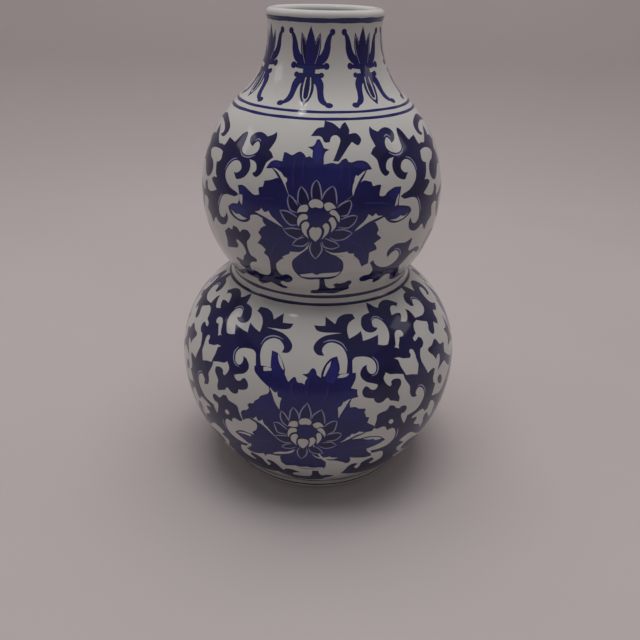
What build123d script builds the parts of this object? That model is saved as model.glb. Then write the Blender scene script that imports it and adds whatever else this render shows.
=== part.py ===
from build123d import *
import math
import os

# A porcelain double gourd vase, made as a potter makes one: thrown sections luted together, then glazed.
# It stands on the XY plane with its axis on Z. Every outline is drawn as a half section, where x is the
# distance from the axis and y the height above the table, and is then turned about the axis.

# Outside of the glazed vase, in millimetres
FOOT_RADIUS = 50.0
FOOT_HEIGHT = 4.3
FOOT_WIDTH = 6.5
LOWER_BELLY_RADIUS = 77.5
LOWER_BELLY_RISE = 60.1
WAIST_RADIUS = 48.0
WAIST_ARC = 5.0
WAIST_RISE = 51.5
UPPER_BELLY_RADIUS = 63.3
UPPER_BELLY_RISE = 43.5
NECK_RADIUS = 28.4
NECK_ARC = 39.0
NECK_RISE = 78.0
THROAT_LENGTH = 9.2
LIP_OVERHANG = 0.8
LIP_UNDERCUT = 3.0

# Thicknesses of the clay, the floor, the glaze and the slip in the seams
WALL = 4.0
FLOOR = 5.0
GLAZE = 0.4
LUTE = 0.6

# Edges and seams; the bevel is in degrees from level
FLOOR_FILLET = 14.0
FOOT_EDGE = 1.2
GLAZE_LINE = 1.6
SEAM_BEVEL = 20.0

# Heights of the rings that shape the outline
FOOT_TOP = FOOT_HEIGHT + LUTE
LOWER_BELLY = FOOT_TOP + LOWER_BELLY_RISE
WAIST = LOWER_BELLY + WAIST_RISE
UPPER_BELLY = WAIST + UPPER_BELLY_RISE
THROAT = UPPER_BELLY + NECK_RISE
LIP_CENTRE = THROAT + THROAT_LENGTH

# Depths below the outside, from the glaze's face to the face of the glaze that lines the vase
OUTER_FACE = 0.0
CLAY_OUTSIDE = OUTER_FACE + GLAZE
CLAY_INSIDE = CLAY_OUTSIDE + WALL
INNER_FACE = CLAY_INSIDE + GLAZE

# The lip is a full round from its overhang outside the neck to the throat inside
LIP_BEAD = (LIP_OVERHANG + INNER_FACE) / 2
LIP_RADIUS = NECK_RADIUS + LIP_OVERHANG - LIP_BEAD
HEIGHT = LIP_CENTRE + LIP_BEAD

# The flat of the floor inside, and the clay faces of the foot ring
FLOOR_TOP = FOOT_TOP + FLOOR
FOOT_CLAY_INSIDE = FOOT_RADIUS - FOOT_WIDTH + GLAZE
FOOT_CLAY_OUTSIDE = FOOT_RADIUS - GLAZE


def upright_arc(reach, rise):
    """Radius of an arc that starts upright and has moved inwards by reach when it is rise away."""
    return (reach**2 + rise**2) / (2 * reach)


def swelling_arc(belly, hollow, hollow_arc, rise):
    """Radius of an arc that starts upright at a belly and runs smoothly into a hollow's arc."""
    reach = hollow + hollow_arc - belly
    return (reach**2 + rise**2 - hollow_arc**2) / (2 * (hollow_arc - reach))


BOWL_ARC = upright_arc(LOWER_BELLY_RADIUS - FOOT_RADIUS, LOWER_BELLY_RISE)
SHOULDER_ARC = swelling_arc(LOWER_BELLY_RADIUS, WAIST_RADIUS, WAIST_ARC, WAIST_RISE)
UPPER_BOWL_ARC = swelling_arc(UPPER_BELLY_RADIUS, WAIST_RADIUS, WAIST_ARC, UPPER_BELLY_RISE)
CROWN_ARC = swelling_arc(UPPER_BELLY_RADIUS, NECK_RADIUS, NECK_ARC, NECK_RISE)

# Centres of the arcs in the half section
BOWL_CENTRE = Vector(LOWER_BELLY_RADIUS - BOWL_ARC, LOWER_BELLY)
SHOULDER_CENTRE = Vector(LOWER_BELLY_RADIUS - SHOULDER_ARC, LOWER_BELLY)
WAIST_CENTRE = Vector(WAIST_RADIUS + WAIST_ARC, WAIST)
UPPER_BOWL_CENTRE = Vector(UPPER_BELLY_RADIUS - UPPER_BOWL_ARC, UPPER_BELLY)
CROWN_CENTRE = Vector(UPPER_BELLY_RADIUS - CROWN_ARC, UPPER_BELLY)
NECK_CENTRE = Vector(NECK_RADIUS + NECK_ARC, THROAT)
LIP_MIDDLE = Vector(LIP_RADIUS, LIP_CENTRE)
UNDERCUT_REACH = NECK_RADIUS + LIP_UNDERCUT - LIP_RADIUS
UNDERCUT_DROP = math.sqrt((LIP_BEAD + LIP_UNDERCUT) ** 2 - UNDERCUT_REACH**2)
UNDERCUT_CENTRE = LIP_MIDDLE + Vector(UNDERCUT_REACH, -UNDERCUT_DROP)


def towards(start, end, distance):
    """The point at a distance from start on the way to end."""
    return start + (end - start).normalized() * distance


def bearing(centre, point):
    """Direction from a centre to a point, in degrees."""
    away = point - centre
    return math.degrees(math.atan2(away.Y, away.X))


def arc(centre, start, end):
    """The shorter arc about a centre from one point to another."""
    first = bearing(centre, start)
    turn = (bearing(centre, end) - first + 180) % 360 - 180
    return CenterArc(centre, (start - centre).length, first, turn)


def outline(*points):
    """Straight lines from point to point."""
    return [Line(start, end) for start, end in zip(points, points[1:])]


def face_of(curves):
    """The flat face inside a closed loop of curves."""
    return make_face(Curve() + curves)


def bowl_edge(depth):
    """Where the lower bowl's curve meets the top of the foot."""
    reach = math.sqrt((BOWL_ARC - depth) ** 2 - LOWER_BELLY_RISE**2)
    return Vector(BOWL_CENTRE.X + reach, FOOT_TOP)


def throat_foot(depth):
    """Where the neck's curve turns upright."""
    return Vector(NECK_RADIUS - depth, THROAT)


def lip_inside(depth):
    """Inner edge of the lip's round."""
    return LIP_MIDDLE - Vector(LIP_BEAD - depth, 0)


def mouth(depth):
    """Top of the throat's straight wall."""
    return Vector(NECK_RADIUS - depth, LIP_CENTRE)


def floor_middle(depth):
    """The floor on the axis."""
    return Vector(0, FLOOR_TOP + depth - CLAY_INSIDE)


def gourd(start, depth):
    """The curves of both bulbs and the neck, from a point on the lower bowl to the throat's foot."""
    belly = Vector(LOWER_BELLY_RADIUS - depth, LOWER_BELLY)
    under_waist = towards(SHOULDER_CENTRE, WAIST_CENTRE, SHOULDER_ARC - depth)
    over_waist = towards(UPPER_BOWL_CENTRE, WAIST_CENTRE, UPPER_BOWL_ARC - depth)
    upper_belly = Vector(UPPER_BELLY_RADIUS - depth, UPPER_BELLY)
    neck_foot = towards(CROWN_CENTRE, NECK_CENTRE, CROWN_ARC - depth)
    return [
        arc(BOWL_CENTRE, start, belly),
        arc(SHOULDER_CENTRE, belly, under_waist),
        arc(WAIST_CENTRE, under_waist, over_waist),
        arc(UPPER_BOWL_CENTRE, over_waist, upper_belly),
        arc(CROWN_CENTRE, upper_belly, neck_foot),
        arc(NECK_CENTRE, neck_foot, throat_foot(depth)),
    ]


def lip(depth):
    """The curves from the throat's foot outside, over the lip, to its inner edge."""
    undercut = Vector(NECK_RADIUS - depth, UNDERCUT_CENTRE.Y)
    bead = towards(LIP_MIDDLE, UNDERCUT_CENTRE, LIP_BEAD - depth)
    crest = LIP_MIDDLE + Vector(0, LIP_BEAD - depth)
    return [
        Line(throat_foot(depth), undercut),
        arc(UNDERCUT_CENTRE, undercut, bead),
        arc(LIP_MIDDLE, bead, crest),
        arc(LIP_MIDDLE, crest, lip_inside(depth)),
    ]


def outside(depth):
    """The whole outside from the top of the foot to the inner edge of the lip."""
    return gourd(bowl_edge(depth), depth) + lip(depth)


def hollow(depth):
    """The whole inside from the axis on the floor to the top of the throat."""
    middle = floor_middle(depth)
    sweep = FLOOR_FILLET - (depth - CLAY_INSIDE)
    rise = LOWER_BELLY - middle.Y - sweep
    reach = math.sqrt((BOWL_ARC - depth - sweep) ** 2 - rise**2)
    floor_edge = Vector(BOWL_CENTRE.X + reach, middle.Y)
    sweep_centre = floor_edge + Vector(0, sweep)
    wall_foot = towards(BOWL_CENTRE, sweep_centre, BOWL_ARC - depth)
    floor = [Line(middle, floor_edge), arc(sweep_centre, floor_edge, wall_foot)]
    return floor + gourd(wall_foot, depth) + [Line(throat_foot(depth), mouth(depth))]


def clay_wall():
    """The clay from the flat under the lower bowl to the lip, before it is parted at the seams."""
    under = outline(floor_middle(CLAY_INSIDE), Vector(0, FOOT_TOP), bowl_edge(CLAY_OUTSIDE))
    return face_of(outside(CLAY_OUTSIDE) + hollow(CLAY_INSIDE) + under)


def foot_wall():
    """The foot ring: upright outside and inside, with its resting edge softened."""
    width = FOOT_CLAY_OUTSIDE - FOOT_CLAY_INSIDE
    ring = Pos(FOOT_CLAY_INSIDE + width / 2, FOOT_HEIGHT / 2) * Rectangle(width, FOOT_HEIGHT)
    return fillet(ring.vertices().group_by(Axis.Y)[0], FOOT_EDGE)


def foot_slip():
    """The slip between the foot ring and the lower bowl."""
    ring_inside = Vector(FOOT_CLAY_INSIDE, FOOT_HEIGHT)
    ring_outside = Vector(FOOT_CLAY_OUTSIDE, FOOT_HEIGHT)
    bowl_inside = Vector(FOOT_CLAY_INSIDE, FOOT_TOP)
    return face_of(outline(ring_inside, ring_outside, bowl_edge(CLAY_OUTSIDE), bowl_inside, ring_inside))


def seam(point, angle):
    """A strip as thick as the slip, right across the wall, through a point on the outside."""
    across = 4 * INNER_FACE
    return Pos(point.X, point.Y) * Rot(0, 0, angle) * Rectangle(across, LUTE)


def seams():
    """The strips where the thrown sections meet, by the name of their slip, from the bottom up."""
    neck_foot = towards(CROWN_CENTRE, NECK_CENTRE, CROWN_ARC)
    return {
        "lower_belly_lute": seam(Vector(LOWER_BELLY_RADIUS, LOWER_BELLY), SEAM_BEVEL),
        "waist_lute": seam(Vector(WAIST_RADIUS, WAIST), SEAM_BEVEL),
        "upper_belly_lute": seam(Vector(UPPER_BELLY_RADIUS, UPPER_BELLY), SEAM_BEVEL),
        "neck_lute": seam(neck_foot, bearing(CROWN_CENTRE, neck_foot)),
    }


def outer_coat():
    """The glaze outside, from its hem just above the resting edge to the inner edge of the lip."""
    top = outline(lip_inside(OUTER_FACE), lip_inside(CLAY_OUTSIDE))
    foot = outline(
        bowl_edge(CLAY_OUTSIDE),
        Vector(FOOT_CLAY_OUTSIDE, FOOT_HEIGHT),
        Vector(FOOT_CLAY_OUTSIDE, GLAZE_LINE),
        Vector(FOOT_RADIUS, GLAZE_LINE + GLAZE),
        bowl_edge(OUTER_FACE),
    )
    return face_of(outside(OUTER_FACE) + top + outside(CLAY_OUTSIDE) + foot)


def lining_coat():
    """The glaze inside, from the floor to the top of the throat."""
    middle = outline(floor_middle(CLAY_INSIDE), floor_middle(INNER_FACE))
    top = outline(mouth(CLAY_INSIDE), mouth(INNER_FACE))
    return face_of(hollow(CLAY_INSIDE) + top + hollow(INNER_FACE) + middle)


def base_coat():
    """The glaze in the recess under the vase and down the inside of the foot ring."""
    recess = FOOT_CLAY_INSIDE - GLAZE
    middle = Vector(0, FOOT_TOP)
    corners = [
        middle,
        Vector(FOOT_CLAY_INSIDE, FOOT_TOP),
        Vector(FOOT_CLAY_INSIDE, GLAZE_LINE),
        Vector(recess, GLAZE_LINE + GLAZE),
        Vector(recess, FOOT_TOP - GLAZE),
        Vector(0, FOOT_TOP - GLAZE),
        middle,
    ]
    return face_of(outline(*corners))


def half_sections():
    """Half section of every piece by name."""
    wall = clay_wall()
    strips = seams()
    thrown = (wall - list(strips.values())).faces().sort_by(Axis.Y)
    names = ["lower_bowl", "lower_shoulder", "upper_bowl", "upper_shoulder", "neck"]
    pieces = dict(zip(names, thrown, strict=True))
    pieces |= {name: wall & strip for name, strip in strips.items()}
    pieces["foot_ring"] = foot_wall()
    pieces["foot_lute"] = foot_slip()
    pieces["outer_glaze"] = outer_coat()
    pieces["inner_glaze"] = lining_coat()
    pieces["base_glaze"] = base_coat()
    return pieces


os.makedirs("parts", exist_ok=True)
for name, half_section in half_sections().items():
    piece = revolve(Plane.XZ * half_section, Axis.Z)
    piece.label = name
    export_step(piece, f"parts/{name}.step")
print(f"height {HEIGHT:.1f} mm, bore radius {NECK_RADIUS - INNER_FACE:.2f} mm, lip bead {LIP_BEAD:.2f} mm")
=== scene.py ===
import math

import bpy
import numpy as np
from mathutils import Matrix, Vector, noise
from mathutils.geometry import delaunay_2d_cdt
from mathutils.kdtree import KDTree


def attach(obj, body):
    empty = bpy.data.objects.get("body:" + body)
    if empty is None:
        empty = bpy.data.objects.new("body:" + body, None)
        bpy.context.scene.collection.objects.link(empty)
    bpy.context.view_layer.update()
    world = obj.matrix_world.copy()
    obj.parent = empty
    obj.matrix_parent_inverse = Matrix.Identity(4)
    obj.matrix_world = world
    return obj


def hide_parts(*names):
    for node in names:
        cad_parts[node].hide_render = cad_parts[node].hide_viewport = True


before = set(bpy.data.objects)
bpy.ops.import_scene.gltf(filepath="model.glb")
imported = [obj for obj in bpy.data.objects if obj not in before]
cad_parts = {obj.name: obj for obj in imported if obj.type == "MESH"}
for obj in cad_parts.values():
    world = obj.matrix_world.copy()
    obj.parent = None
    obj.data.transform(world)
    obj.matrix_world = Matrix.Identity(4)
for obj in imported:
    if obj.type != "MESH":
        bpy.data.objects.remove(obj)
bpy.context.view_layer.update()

# The vase's outside in millimetres, as the part's source has it
MM = 0.001
GLAZE = 0.4
HEM = 2.0
FOOT_RADIUS, FOOT_TOP = 50.0, 4.9
LOWER_RADIUS, LOWER_BELLY = 77.5, 65.0
WAIST_RADIUS, WAIST, WAIST_ARC = 48.0, 116.5, 5.0
UPPER_RADIUS, UPPER_BELLY = 63.3, 160.0
NECK_RADIUS, THROAT, NECK_ARC = 28.4, 238.0, 39.0
LIP_BEAD, LIP_RADIUS, LIP_CENTRE = 2.8, 26.4, 247.2
LIP_UNDERCUT = 3.0

# Step along the profile, and the share of it under which two points are one
PROFILE_STEP = 0.05
SAME_POINT = 0.01


def upright_arc(reach, rise):
    """Radius of an arc that starts upright and has moved inwards by reach when it is rise away."""
    return (reach**2 + rise**2) / (2 * reach)


def swelling_arc(belly, hollow, hollow_arc, rise):
    """Radius of an arc that starts upright at a belly and runs smoothly into a hollow's arc."""
    reach = hollow + hollow_arc - belly
    return (reach**2 + rise**2 - hollow_arc**2) / (2 * (hollow_arc - reach))


def towards(start, end, distance):
    """The point at a distance from start on the way to end."""
    away = np.subtract(end, start)
    return np.add(start, away * distance / np.hypot(*away))


def line_run(start, end, side, fine):
    """Points and normals along a straight run of the profile."""
    count = max(2, int(np.hypot(*np.subtract(end, start)) / fine))
    share = np.linspace(0, 1, count)[:, None]
    points = np.add(start, share * np.subtract(end, start))
    return points, np.repeat([side], count, 0)


def arc_run(centre, start, end, bulge, fine):
    """Points and outward normals along an arc; bulge is 1 where it swells and -1 where it is hollow."""
    first = np.subtract(start, centre)
    last = np.subtract(end, centre)
    radius = np.hypot(*first)
    angle = math.atan2(first[1], first[0])
    turn = math.atan2(last[1], last[0]) - angle
    turn = (turn + math.pi) % (2 * math.pi) - math.pi
    angles = angle + np.linspace(0, turn, max(3, int(abs(turn) * radius / fine)))
    normals = np.stack([np.cos(angles), np.sin(angles)], 1)
    return np.add(centre, radius * normals), bulge * normals


def profile(fine):
    """The outside from the hem to the lip's inner edge: length along it, radius with height, and normals."""
    bowl = upright_arc(LOWER_RADIUS - FOOT_RADIUS, LOWER_BELLY - FOOT_TOP)
    shoulder = swelling_arc(LOWER_RADIUS, WAIST_RADIUS, WAIST_ARC, WAIST - LOWER_BELLY)
    upper_bowl = swelling_arc(UPPER_RADIUS, WAIST_RADIUS, WAIST_ARC, UPPER_BELLY - WAIST)
    crown = swelling_arc(UPPER_RADIUS, NECK_RADIUS, NECK_ARC, THROAT - UPPER_BELLY)
    bowl_at = (LOWER_RADIUS - bowl, LOWER_BELLY)
    shoulder_at = (LOWER_RADIUS - shoulder, LOWER_BELLY)
    waist_at = (WAIST_RADIUS + WAIST_ARC, WAIST)
    upper_bowl_at = (UPPER_RADIUS - upper_bowl, UPPER_BELLY)
    crown_at = (UPPER_RADIUS - crown, UPPER_BELLY)
    neck_at = (NECK_RADIUS + NECK_ARC, THROAT)
    lip_at = (LIP_RADIUS, LIP_CENTRE)
    under_reach = NECK_RADIUS + LIP_UNDERCUT - LIP_RADIUS
    under_drop = math.sqrt((LIP_BEAD + LIP_UNDERCUT) ** 2 - under_reach**2)
    undercut_at = (LIP_RADIUS + under_reach, LIP_CENTRE - under_drop)
    foot = (FOOT_RADIUS, FOOT_TOP)
    belly = (LOWER_RADIUS, LOWER_BELLY)
    under_waist = towards(shoulder_at, waist_at, shoulder)
    over_waist = towards(upper_bowl_at, waist_at, upper_bowl)
    upper_belly = (UPPER_RADIUS, UPPER_BELLY)
    neck_foot = towards(crown_at, neck_at, crown)
    throat = (NECK_RADIUS, THROAT)
    undercut = (NECK_RADIUS, undercut_at[1])
    bead = towards(lip_at, undercut_at, LIP_BEAD)
    crest = (LIP_RADIUS, LIP_CENTRE + LIP_BEAD)
    inner_edge = (LIP_RADIUS - LIP_BEAD, LIP_CENTRE)
    runs = [
        line_run((FOOT_RADIUS, HEM), foot, (1, 0), fine),
        arc_run(bowl_at, foot, belly, 1, fine),
        arc_run(shoulder_at, belly, under_waist, 1, fine),
        arc_run(waist_at, under_waist, over_waist, -1, fine),
        arc_run(upper_bowl_at, over_waist, upper_belly, 1, fine),
        arc_run(crown_at, upper_belly, neck_foot, 1, fine),
        arc_run(neck_at, neck_foot, throat, -1, fine),
        line_run(throat, undercut, (1, 0), fine),
        arc_run(undercut_at, undercut, bead, -1, fine),
        arc_run(lip_at, bead, crest, 1, fine),
        arc_run(lip_at, crest, inner_edge, 1, fine),
    ]
    points = np.concatenate([run[0] for run in runs])
    normals = np.concatenate([run[1] for run in runs])
    steps = np.hypot(*np.diff(points, axis=0).T)
    keep = np.concatenate([[True], steps > fine * SAME_POINT])
    points, normals = points[keep], normals[keep]
    length = np.concatenate([[0], np.cumsum(np.hypot(*np.diff(points, axis=0).T))])
    return length, points, normals


# Painter's chart: x is the angle from the front times a belly's radius, along the length up the profile
ALONG, POINTS, NORMALS = profile(PROFILE_STEP)
SPREAD = np.concatenate([[0], np.cumsum(np.diff(ALONG) / (POINTS[1:, 0] + POINTS[:-1, 0]) * 2)])
TOP = ALONG[-1]


def flat(angle, along):
    """The chart laid flat as a ring that keeps every shape's angles, so its triangles suit the vase."""
    away = np.exp(np.interp(along, ALONG, SPREAD))
    return np.stack([away * np.sin(angle), -away * np.cos(angle)], -1)


def unflat(places):
    """Angle and length along the profile of places in the flat ring."""
    angle = np.arctan2(places[:, 0], -places[:, 1])
    along = np.interp(np.log(np.hypot(places[:, 0], places[:, 1])), SPREAD, ALONG)
    return angle, along


def turned(angle, radius, height):
    """Points in metres from angles, radii and heights."""
    return np.stack([radius * np.sin(angle), -radius * np.cos(angle), height], -1) * MM


def on_vase(angle, along):
    """Points in metres on the vase's outside."""
    return turned(angle, np.interp(along, ALONG, POINTS[:, 0]), np.interp(along, ALONG, POINTS[:, 1]))


# Drawing in the chart: an outline is a list of runs, each starting at a corner
STEP = 0.9
LEAST_STEP = 0.01
OVAL_POINTS = 20
LEAF_STATIONS = [(0.0, 0.72), (0.36, 1.0), (0.7, 0.7)]
STROKE_ENDS = 0.35
EDGE = 0.4
FINE = 0.65
VEIN = 1.1
BACKING = 3.6
BUD_INSET = 1.5
FADE = 30.0


def smooth(points):
    """Points along a smooth curve through the given ones, without the last."""
    points = np.array(points, float)
    if len(points) == 2:
        ends = points
    else:
        ends = np.concatenate([[2 * points[0] - points[1]], points, [2 * points[-1] - points[-2]]])
    drawn = []
    for place in range(len(points) - 1):
        gap = np.hypot(*(points[place + 1] - points[place]))
        share = np.linspace(0, 1, max(1, math.ceil(gap / STEP)), endpoint=False)[:, None]
        if len(points) == 2:
            drawn.append(points[0] + share * (points[1] - points[0]))
            continue
        before, start, end, after = ends[place:place + 4]
        drawn.append(
            start
            + share * (end - before) / 2
            + share**2 * (before - 2.5 * start + 2 * end - after / 2)
            + share**3 * (1.5 * (start - end) + (after - before) / 2)
        )
    return np.concatenate(drawn)


def outline(runs):
    """A closed outline through runs of points with corners between them."""
    following = runs[1:] + runs[:1]
    return np.concatenate([smooth(run + [after[0]]) for run, after in zip(runs, following)])


def brush(points, widths):
    """A brush line through points, with widths spread evenly along it."""
    middle = np.concatenate([smooth(points), [points[-1]]])
    ahead = np.gradient(middle, axis=0)
    side = np.stack([-ahead[:, 1], ahead[:, 0]], 1) / np.hypot(ahead[:, 0], ahead[:, 1])[:, None]
    share = np.linspace(0, 1, len(middle))
    half = np.interp(share, np.linspace(0, 1, len(widths)), widths) / 2
    return np.concatenate([middle + side * half[:, None], (middle - side * half[:, None])[::-1]])


def stroke(points, width, ends=STROKE_ENDS):
    """A brush line of a width through points, thinner at its ends."""
    return brush(points, [width * ends, width, width, width, width * ends])


def oval(centre, wide, high):
    """An oval by its half width and half height."""
    turn = np.linspace(0, 2 * np.pi, OVAL_POINTS, endpoint=False)
    return np.stack([centre[0] + wide * np.cos(turn), centre[1] + high * np.sin(turn)], 1)


def leaf(root, tip, width, inset=0.0):
    """A pointed petal from its root to its tip, drawn in by an inset."""
    root, tip = np.array(root, float), np.array(tip, float)
    size = np.hypot(*(tip - root))
    ahead = (tip - root) / size
    side = np.array([-ahead[1], ahead[0]])
    half = width / 2 - inset
    end = tip - ahead * inset * 2
    left = [tuple(root + ahead * size * along + side * half * share) for along, share in LEAF_STATIONS]
    right = [tuple(root + ahead * size * along - side * half * share) for along, share in LEAF_STATIONS[::-1]]
    return outline([left, [tuple(end)] + right[:-1], [right[-1]]])


def grown(points, distance):
    """A closed outline moved outwards by a distance, or inwards where it is negative."""
    after, before = np.roll(points, -1, 0), np.roll(points, 1, 0)
    ahead = after - before
    turning = np.sum(points[:, 0] * after[:, 1] - points[:, 1] * after[:, 0])
    outward = np.stack([ahead[:, 1], -ahead[:, 0]], 1) * math.copysign(1, turning)
    return points + distance * outward / np.maximum(np.hypot(ahead[:, 0], ahead[:, 1]), LEAST_STEP)[:, None]


# Upper bulb: the lotus in front and its scrolls, as outlines in the chart
LOTUS_REPEATS = 2
UPPER_HEART = (-1.6, 183.4)
UPPER_PETALS = [
    [[(-15.5, 193.4), (-17, 197), (-18.8, 201.5), (-22.5, 204)], [(-24.5, 204.2), (-26.5, 203.9)],
     [(-28.4, 203.7), (-26.5, 206.8), (-24, 208)], [(-20.3, 207.8), (-20.1, 210)], [(-20, 212),
     (-18.5, 212), (-15.5, 211)], [(-13.5, 212.2), (-11.5, 212.9), (-9.5, 212)], [(-8, 210.3), (-6.5, 211)],
     [(-5, 210.2)], [(-5, 213.8)], [(-7.8, 215.3), (-5, 215.7)], [(-3.8, 217), (-3.1, 218.7), (-1.7, 219),
     (-0.5, 217.5)], [(0.8, 215)], [(3.8, 214.2), (1.8, 213.2), (0.9, 211)], [(0.9, 207.5), (5, 208.2),
     (8, 207.8)], [(10, 209.5), (12.2, 210.2)], [(13.3, 208.6), (15, 208.3), (18, 209), (21, 208.8),
     (23.5, 207.5)], [(25.4, 204.6), (21.5, 204), (18, 200.5)], [(15, 193.5)], [UPPER_HEART]],
    [[(-15.8, 193.4), (-18, 197.5), (-20.5, 200)], [(-22.3, 200), (-24.5, 199)], [(-28.4, 198),
     (-28.4, 196.6)], [(-28.8, 195.2), (-31, 194.4)], [(-30.4, 191.4), (-33, 190.8), (-36, 192.2),
     (-39, 193.8), (-41.5, 194.1)], [(-43.6, 193.4), (-42.4, 190.5), (-42, 187)], [(-43, 184.8),
     (-46.5, 184.2)], [(-49.5, 182), (-48, 179), (-44.5, 177), (-40.5, 176.3), (-37, 177)], [(-35, 178.6),
     (-34.8, 180.6), (-32.5, 181.4), (-28.5, 181.4), (-24, 180.2), (-20, 178.1)], [UPPER_HEART]],
    [[(15, 193.4), (18, 198), (20.5, 199.8)], [(24.3, 199), (24.8, 197.6)], [(25, 197), (29.2, 197.2)],
     [(28.6, 194.5), (28.3, 192.3), (31, 192), (33, 193.7), (37, 195.2)], [(41.2, 195), (40, 191.5),
     (39.2, 188.8)], [(39, 186.3), (42, 185.8), (46, 184.6)], [(47.6, 182.5), (45.5, 180.5), (42, 178.8),
     (38, 178), (34.5, 178.6)], [(32.3, 180), (30.2, 182), (26, 181), (21, 179.2), (16.3, 176.8)],
     [UPPER_HEART]],
    [[(-20, 178.1), (-24, 180)], [(-28.3, 180.2), (-27.5, 178.2)], [(-26.3, 177.2), (-27.8, 176.4)],
     [(-29.5, 175), (-30, 173.8)], [(-31, 173), (-29.4, 171)], [(-29.6, 170), (-31, 168)], [(-32, 167),
     (-29.6, 166)], [(-27.6, 164), (-28.6, 162.8)], [(-29, 161.6), (-27, 160), (-26.6, 157)],
     [(-26.8, 155.4)], [(-23.2, 155.4)], [(-23.1, 156.4), (-19.5, 160), (-14, 162.5), (-6.3, 168.4)],
     [UPPER_HEART]],
    [[(16.3, 176.8), (21, 179.6)], [(26, 180), (27.5, 177.5)], [(28.2, 175.6), (27.4, 174)], [(30.2, 171.5),
     (28, 170)], [(26.5, 169), (28, 167)], [(28.5, 165.3), (26, 164.6)], [(24.6, 164), (25, 160)],
     [(25.2, 157.5), (23.6, 156.8)], [(22, 155.9), (20.5, 158.5), (19, 161), (14, 162.8), (7, 164),
     (2.2, 167.4)], [UPPER_HEART]],
    [[(-6, 167.5), (-11, 163), (-14, 159.5), (-14.2, 155), (-12.6, 151.5), (-10, 148.7), (-6, 147.6),
     (-2, 148), (2, 148.3), (6, 148.5), (9.5, 150.5), (11.8, 154), (12, 157.5), (10.8, 161), (6, 165),
     (2.2, 167.4)], [UPPER_HEART]],
]
UPPER_FOLDS = [
    [[(-4.2, 208), (-4.3, 213.5), (-2.8, 217.6), (-1.4, 217.9), (-0.2, 214)], [(-0.2, 208)]],
    [[(-27.6, 204.3), (-25.8, 206.6), (-22, 207.3)], [(-20.6, 204.8), (-24, 205)]],
    [[(15.5, 206.8), (19, 208.2), (22.6, 207)], [(24.6, 205.1), (20, 205)]],
    [[(-43, 193), (-40.5, 193.6), (-37, 192)], [(-37.6, 187.5), (-40, 190.4)]],
    [[(32.8, 192.8), (36.5, 194.6), (40.6, 194.5)], [(39.2, 191.3), (36, 189.6)]],
    [[(-48.3, 181.9), (-44, 183.5), (-38, 183)], [(-36.4, 180.6), (-42, 180.4)]],
    [[(46, 182.6), (42, 184.2), (36, 184)], [(33.4, 182), (40, 181.2)]],
]
UPPER_VEINS = [
    [(-13.2, 196.5), (-14, 203), (-13.6, 210.5)], [(-8.6, 200.5), (-9.4, 206), (-9, 210.6)],
    [(8.4, 199.5), (9.6, 204), (9.8, 207.6)], [(12.8, 195.5), (13.6, 201), (12.9, 207)],
    [(-22, 190.5), (-28, 190), (-34, 188)], [(20, 189.5), (27, 189), (33, 188)],
    [(-17, 172.5), (-22, 168), (-25, 162)], [(14.5, 171.5), (20, 168), (22.8, 162)],
    [(-6.5, 160.5), (-8, 157), (-7.6, 154.2)], [(3.5, 160.5), (5, 157), (4.8, 154.4)],
]
UPPER_GAPS = [
    [[(-16.4, 194), (-18.1, 196.6), (-19.7, 199.3), (-21.3, 201.6)], [(-24.6, 204.6), (-22, 203.4)],
     [(-20, 202.8), (-18.4, 201)], [(-16.9, 200.5), (-16.6, 199.2)], [(-17.3, 198), (-16.7, 196.4)]],
    [[(15, 193), (14.5, 195), (15, 198.1)], [(15.6, 199.3)], [(15.9, 200.9), (16.2, 201.6)], [(16.9, 202.5),
     (17.5, 201.9)], [(21.3, 204.3), (17.9, 199.9), (16.3, 196.8)]],
    [[(-32.2, 183), (-29.8, 183.9)], [(-28.8, 185.3), (-27, 183.6)], [(-25, 184.5), (-23.4, 182.2),
     (-21.3, 180.6)], [(-17.4, 177.3), (-20, 178.4), (-23.1, 179.8), (-27, 181.3)]],
    [[(30, 182.6), (27.4, 183)], [(26.2, 184.3), (24.5, 183)], [(22.6, 184.2), (20.6, 181.2),
     (17.6, 178.5)], [(15.8, 176.4), (18.4, 177.7), (21.3, 179.6), (25, 181.2)]],
    [[(-6.2, 169.3), (-7.5, 167.1), (-10, 165.3)], [(-14.8, 165), (-15, 164)], [(-15.7, 163.4),
     (-17.4, 162.5)], [(-19.1, 161.4), (-17.2, 160.2), (-12.8, 161.8), (-9.7, 164.2), (-7, 167.2)]],
    [[(1.9, 167.4), (4.1, 166), (6.6, 165.3), (10, 165.4)], [(13.4, 165.8), (13.8, 164.8)], [(16.7, 164.4),
     (16.8, 163.1)], [(19.1, 161.3), (15.9, 162.3), (11.3, 163.3), (6.6, 164.2), (3.4, 166)]],
    [[(-10.8, 151), (-7, 151.8)], [(-4, 152.6), (-2.5, 151.7)], [(-1.4, 151.3), (0.5, 152.4)], [(4, 152.8),
     (8, 153)], [(10.9, 153.6), (9, 151), (5, 150), (1, 149.8), (-3, 149.5), (-7, 149.3), (-10, 149.8)]],
    [[(-47.3, 181), (-44, 179.6)], [(-42, 180), (-39, 179)], [(-36.8, 178.6), (-40.5, 177.4),
     (-44.5, 178.3)]],
    [[(45.6, 181.8), (42.5, 180.6)], [(40.5, 181.2), (37.5, 180)], [(34, 180), (38, 179), (42, 179.6)]],
    [[(-42, 189.4), (-41.6, 186.5)], [(-40, 184.8), (-39.8, 187.5)], [(-40.2, 189.6)]],
    [[(39.6, 192), (38, 190)], [(36.6, 186.4), (38.2, 186.8)], [(38.6, 188.6)]],
]
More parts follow.
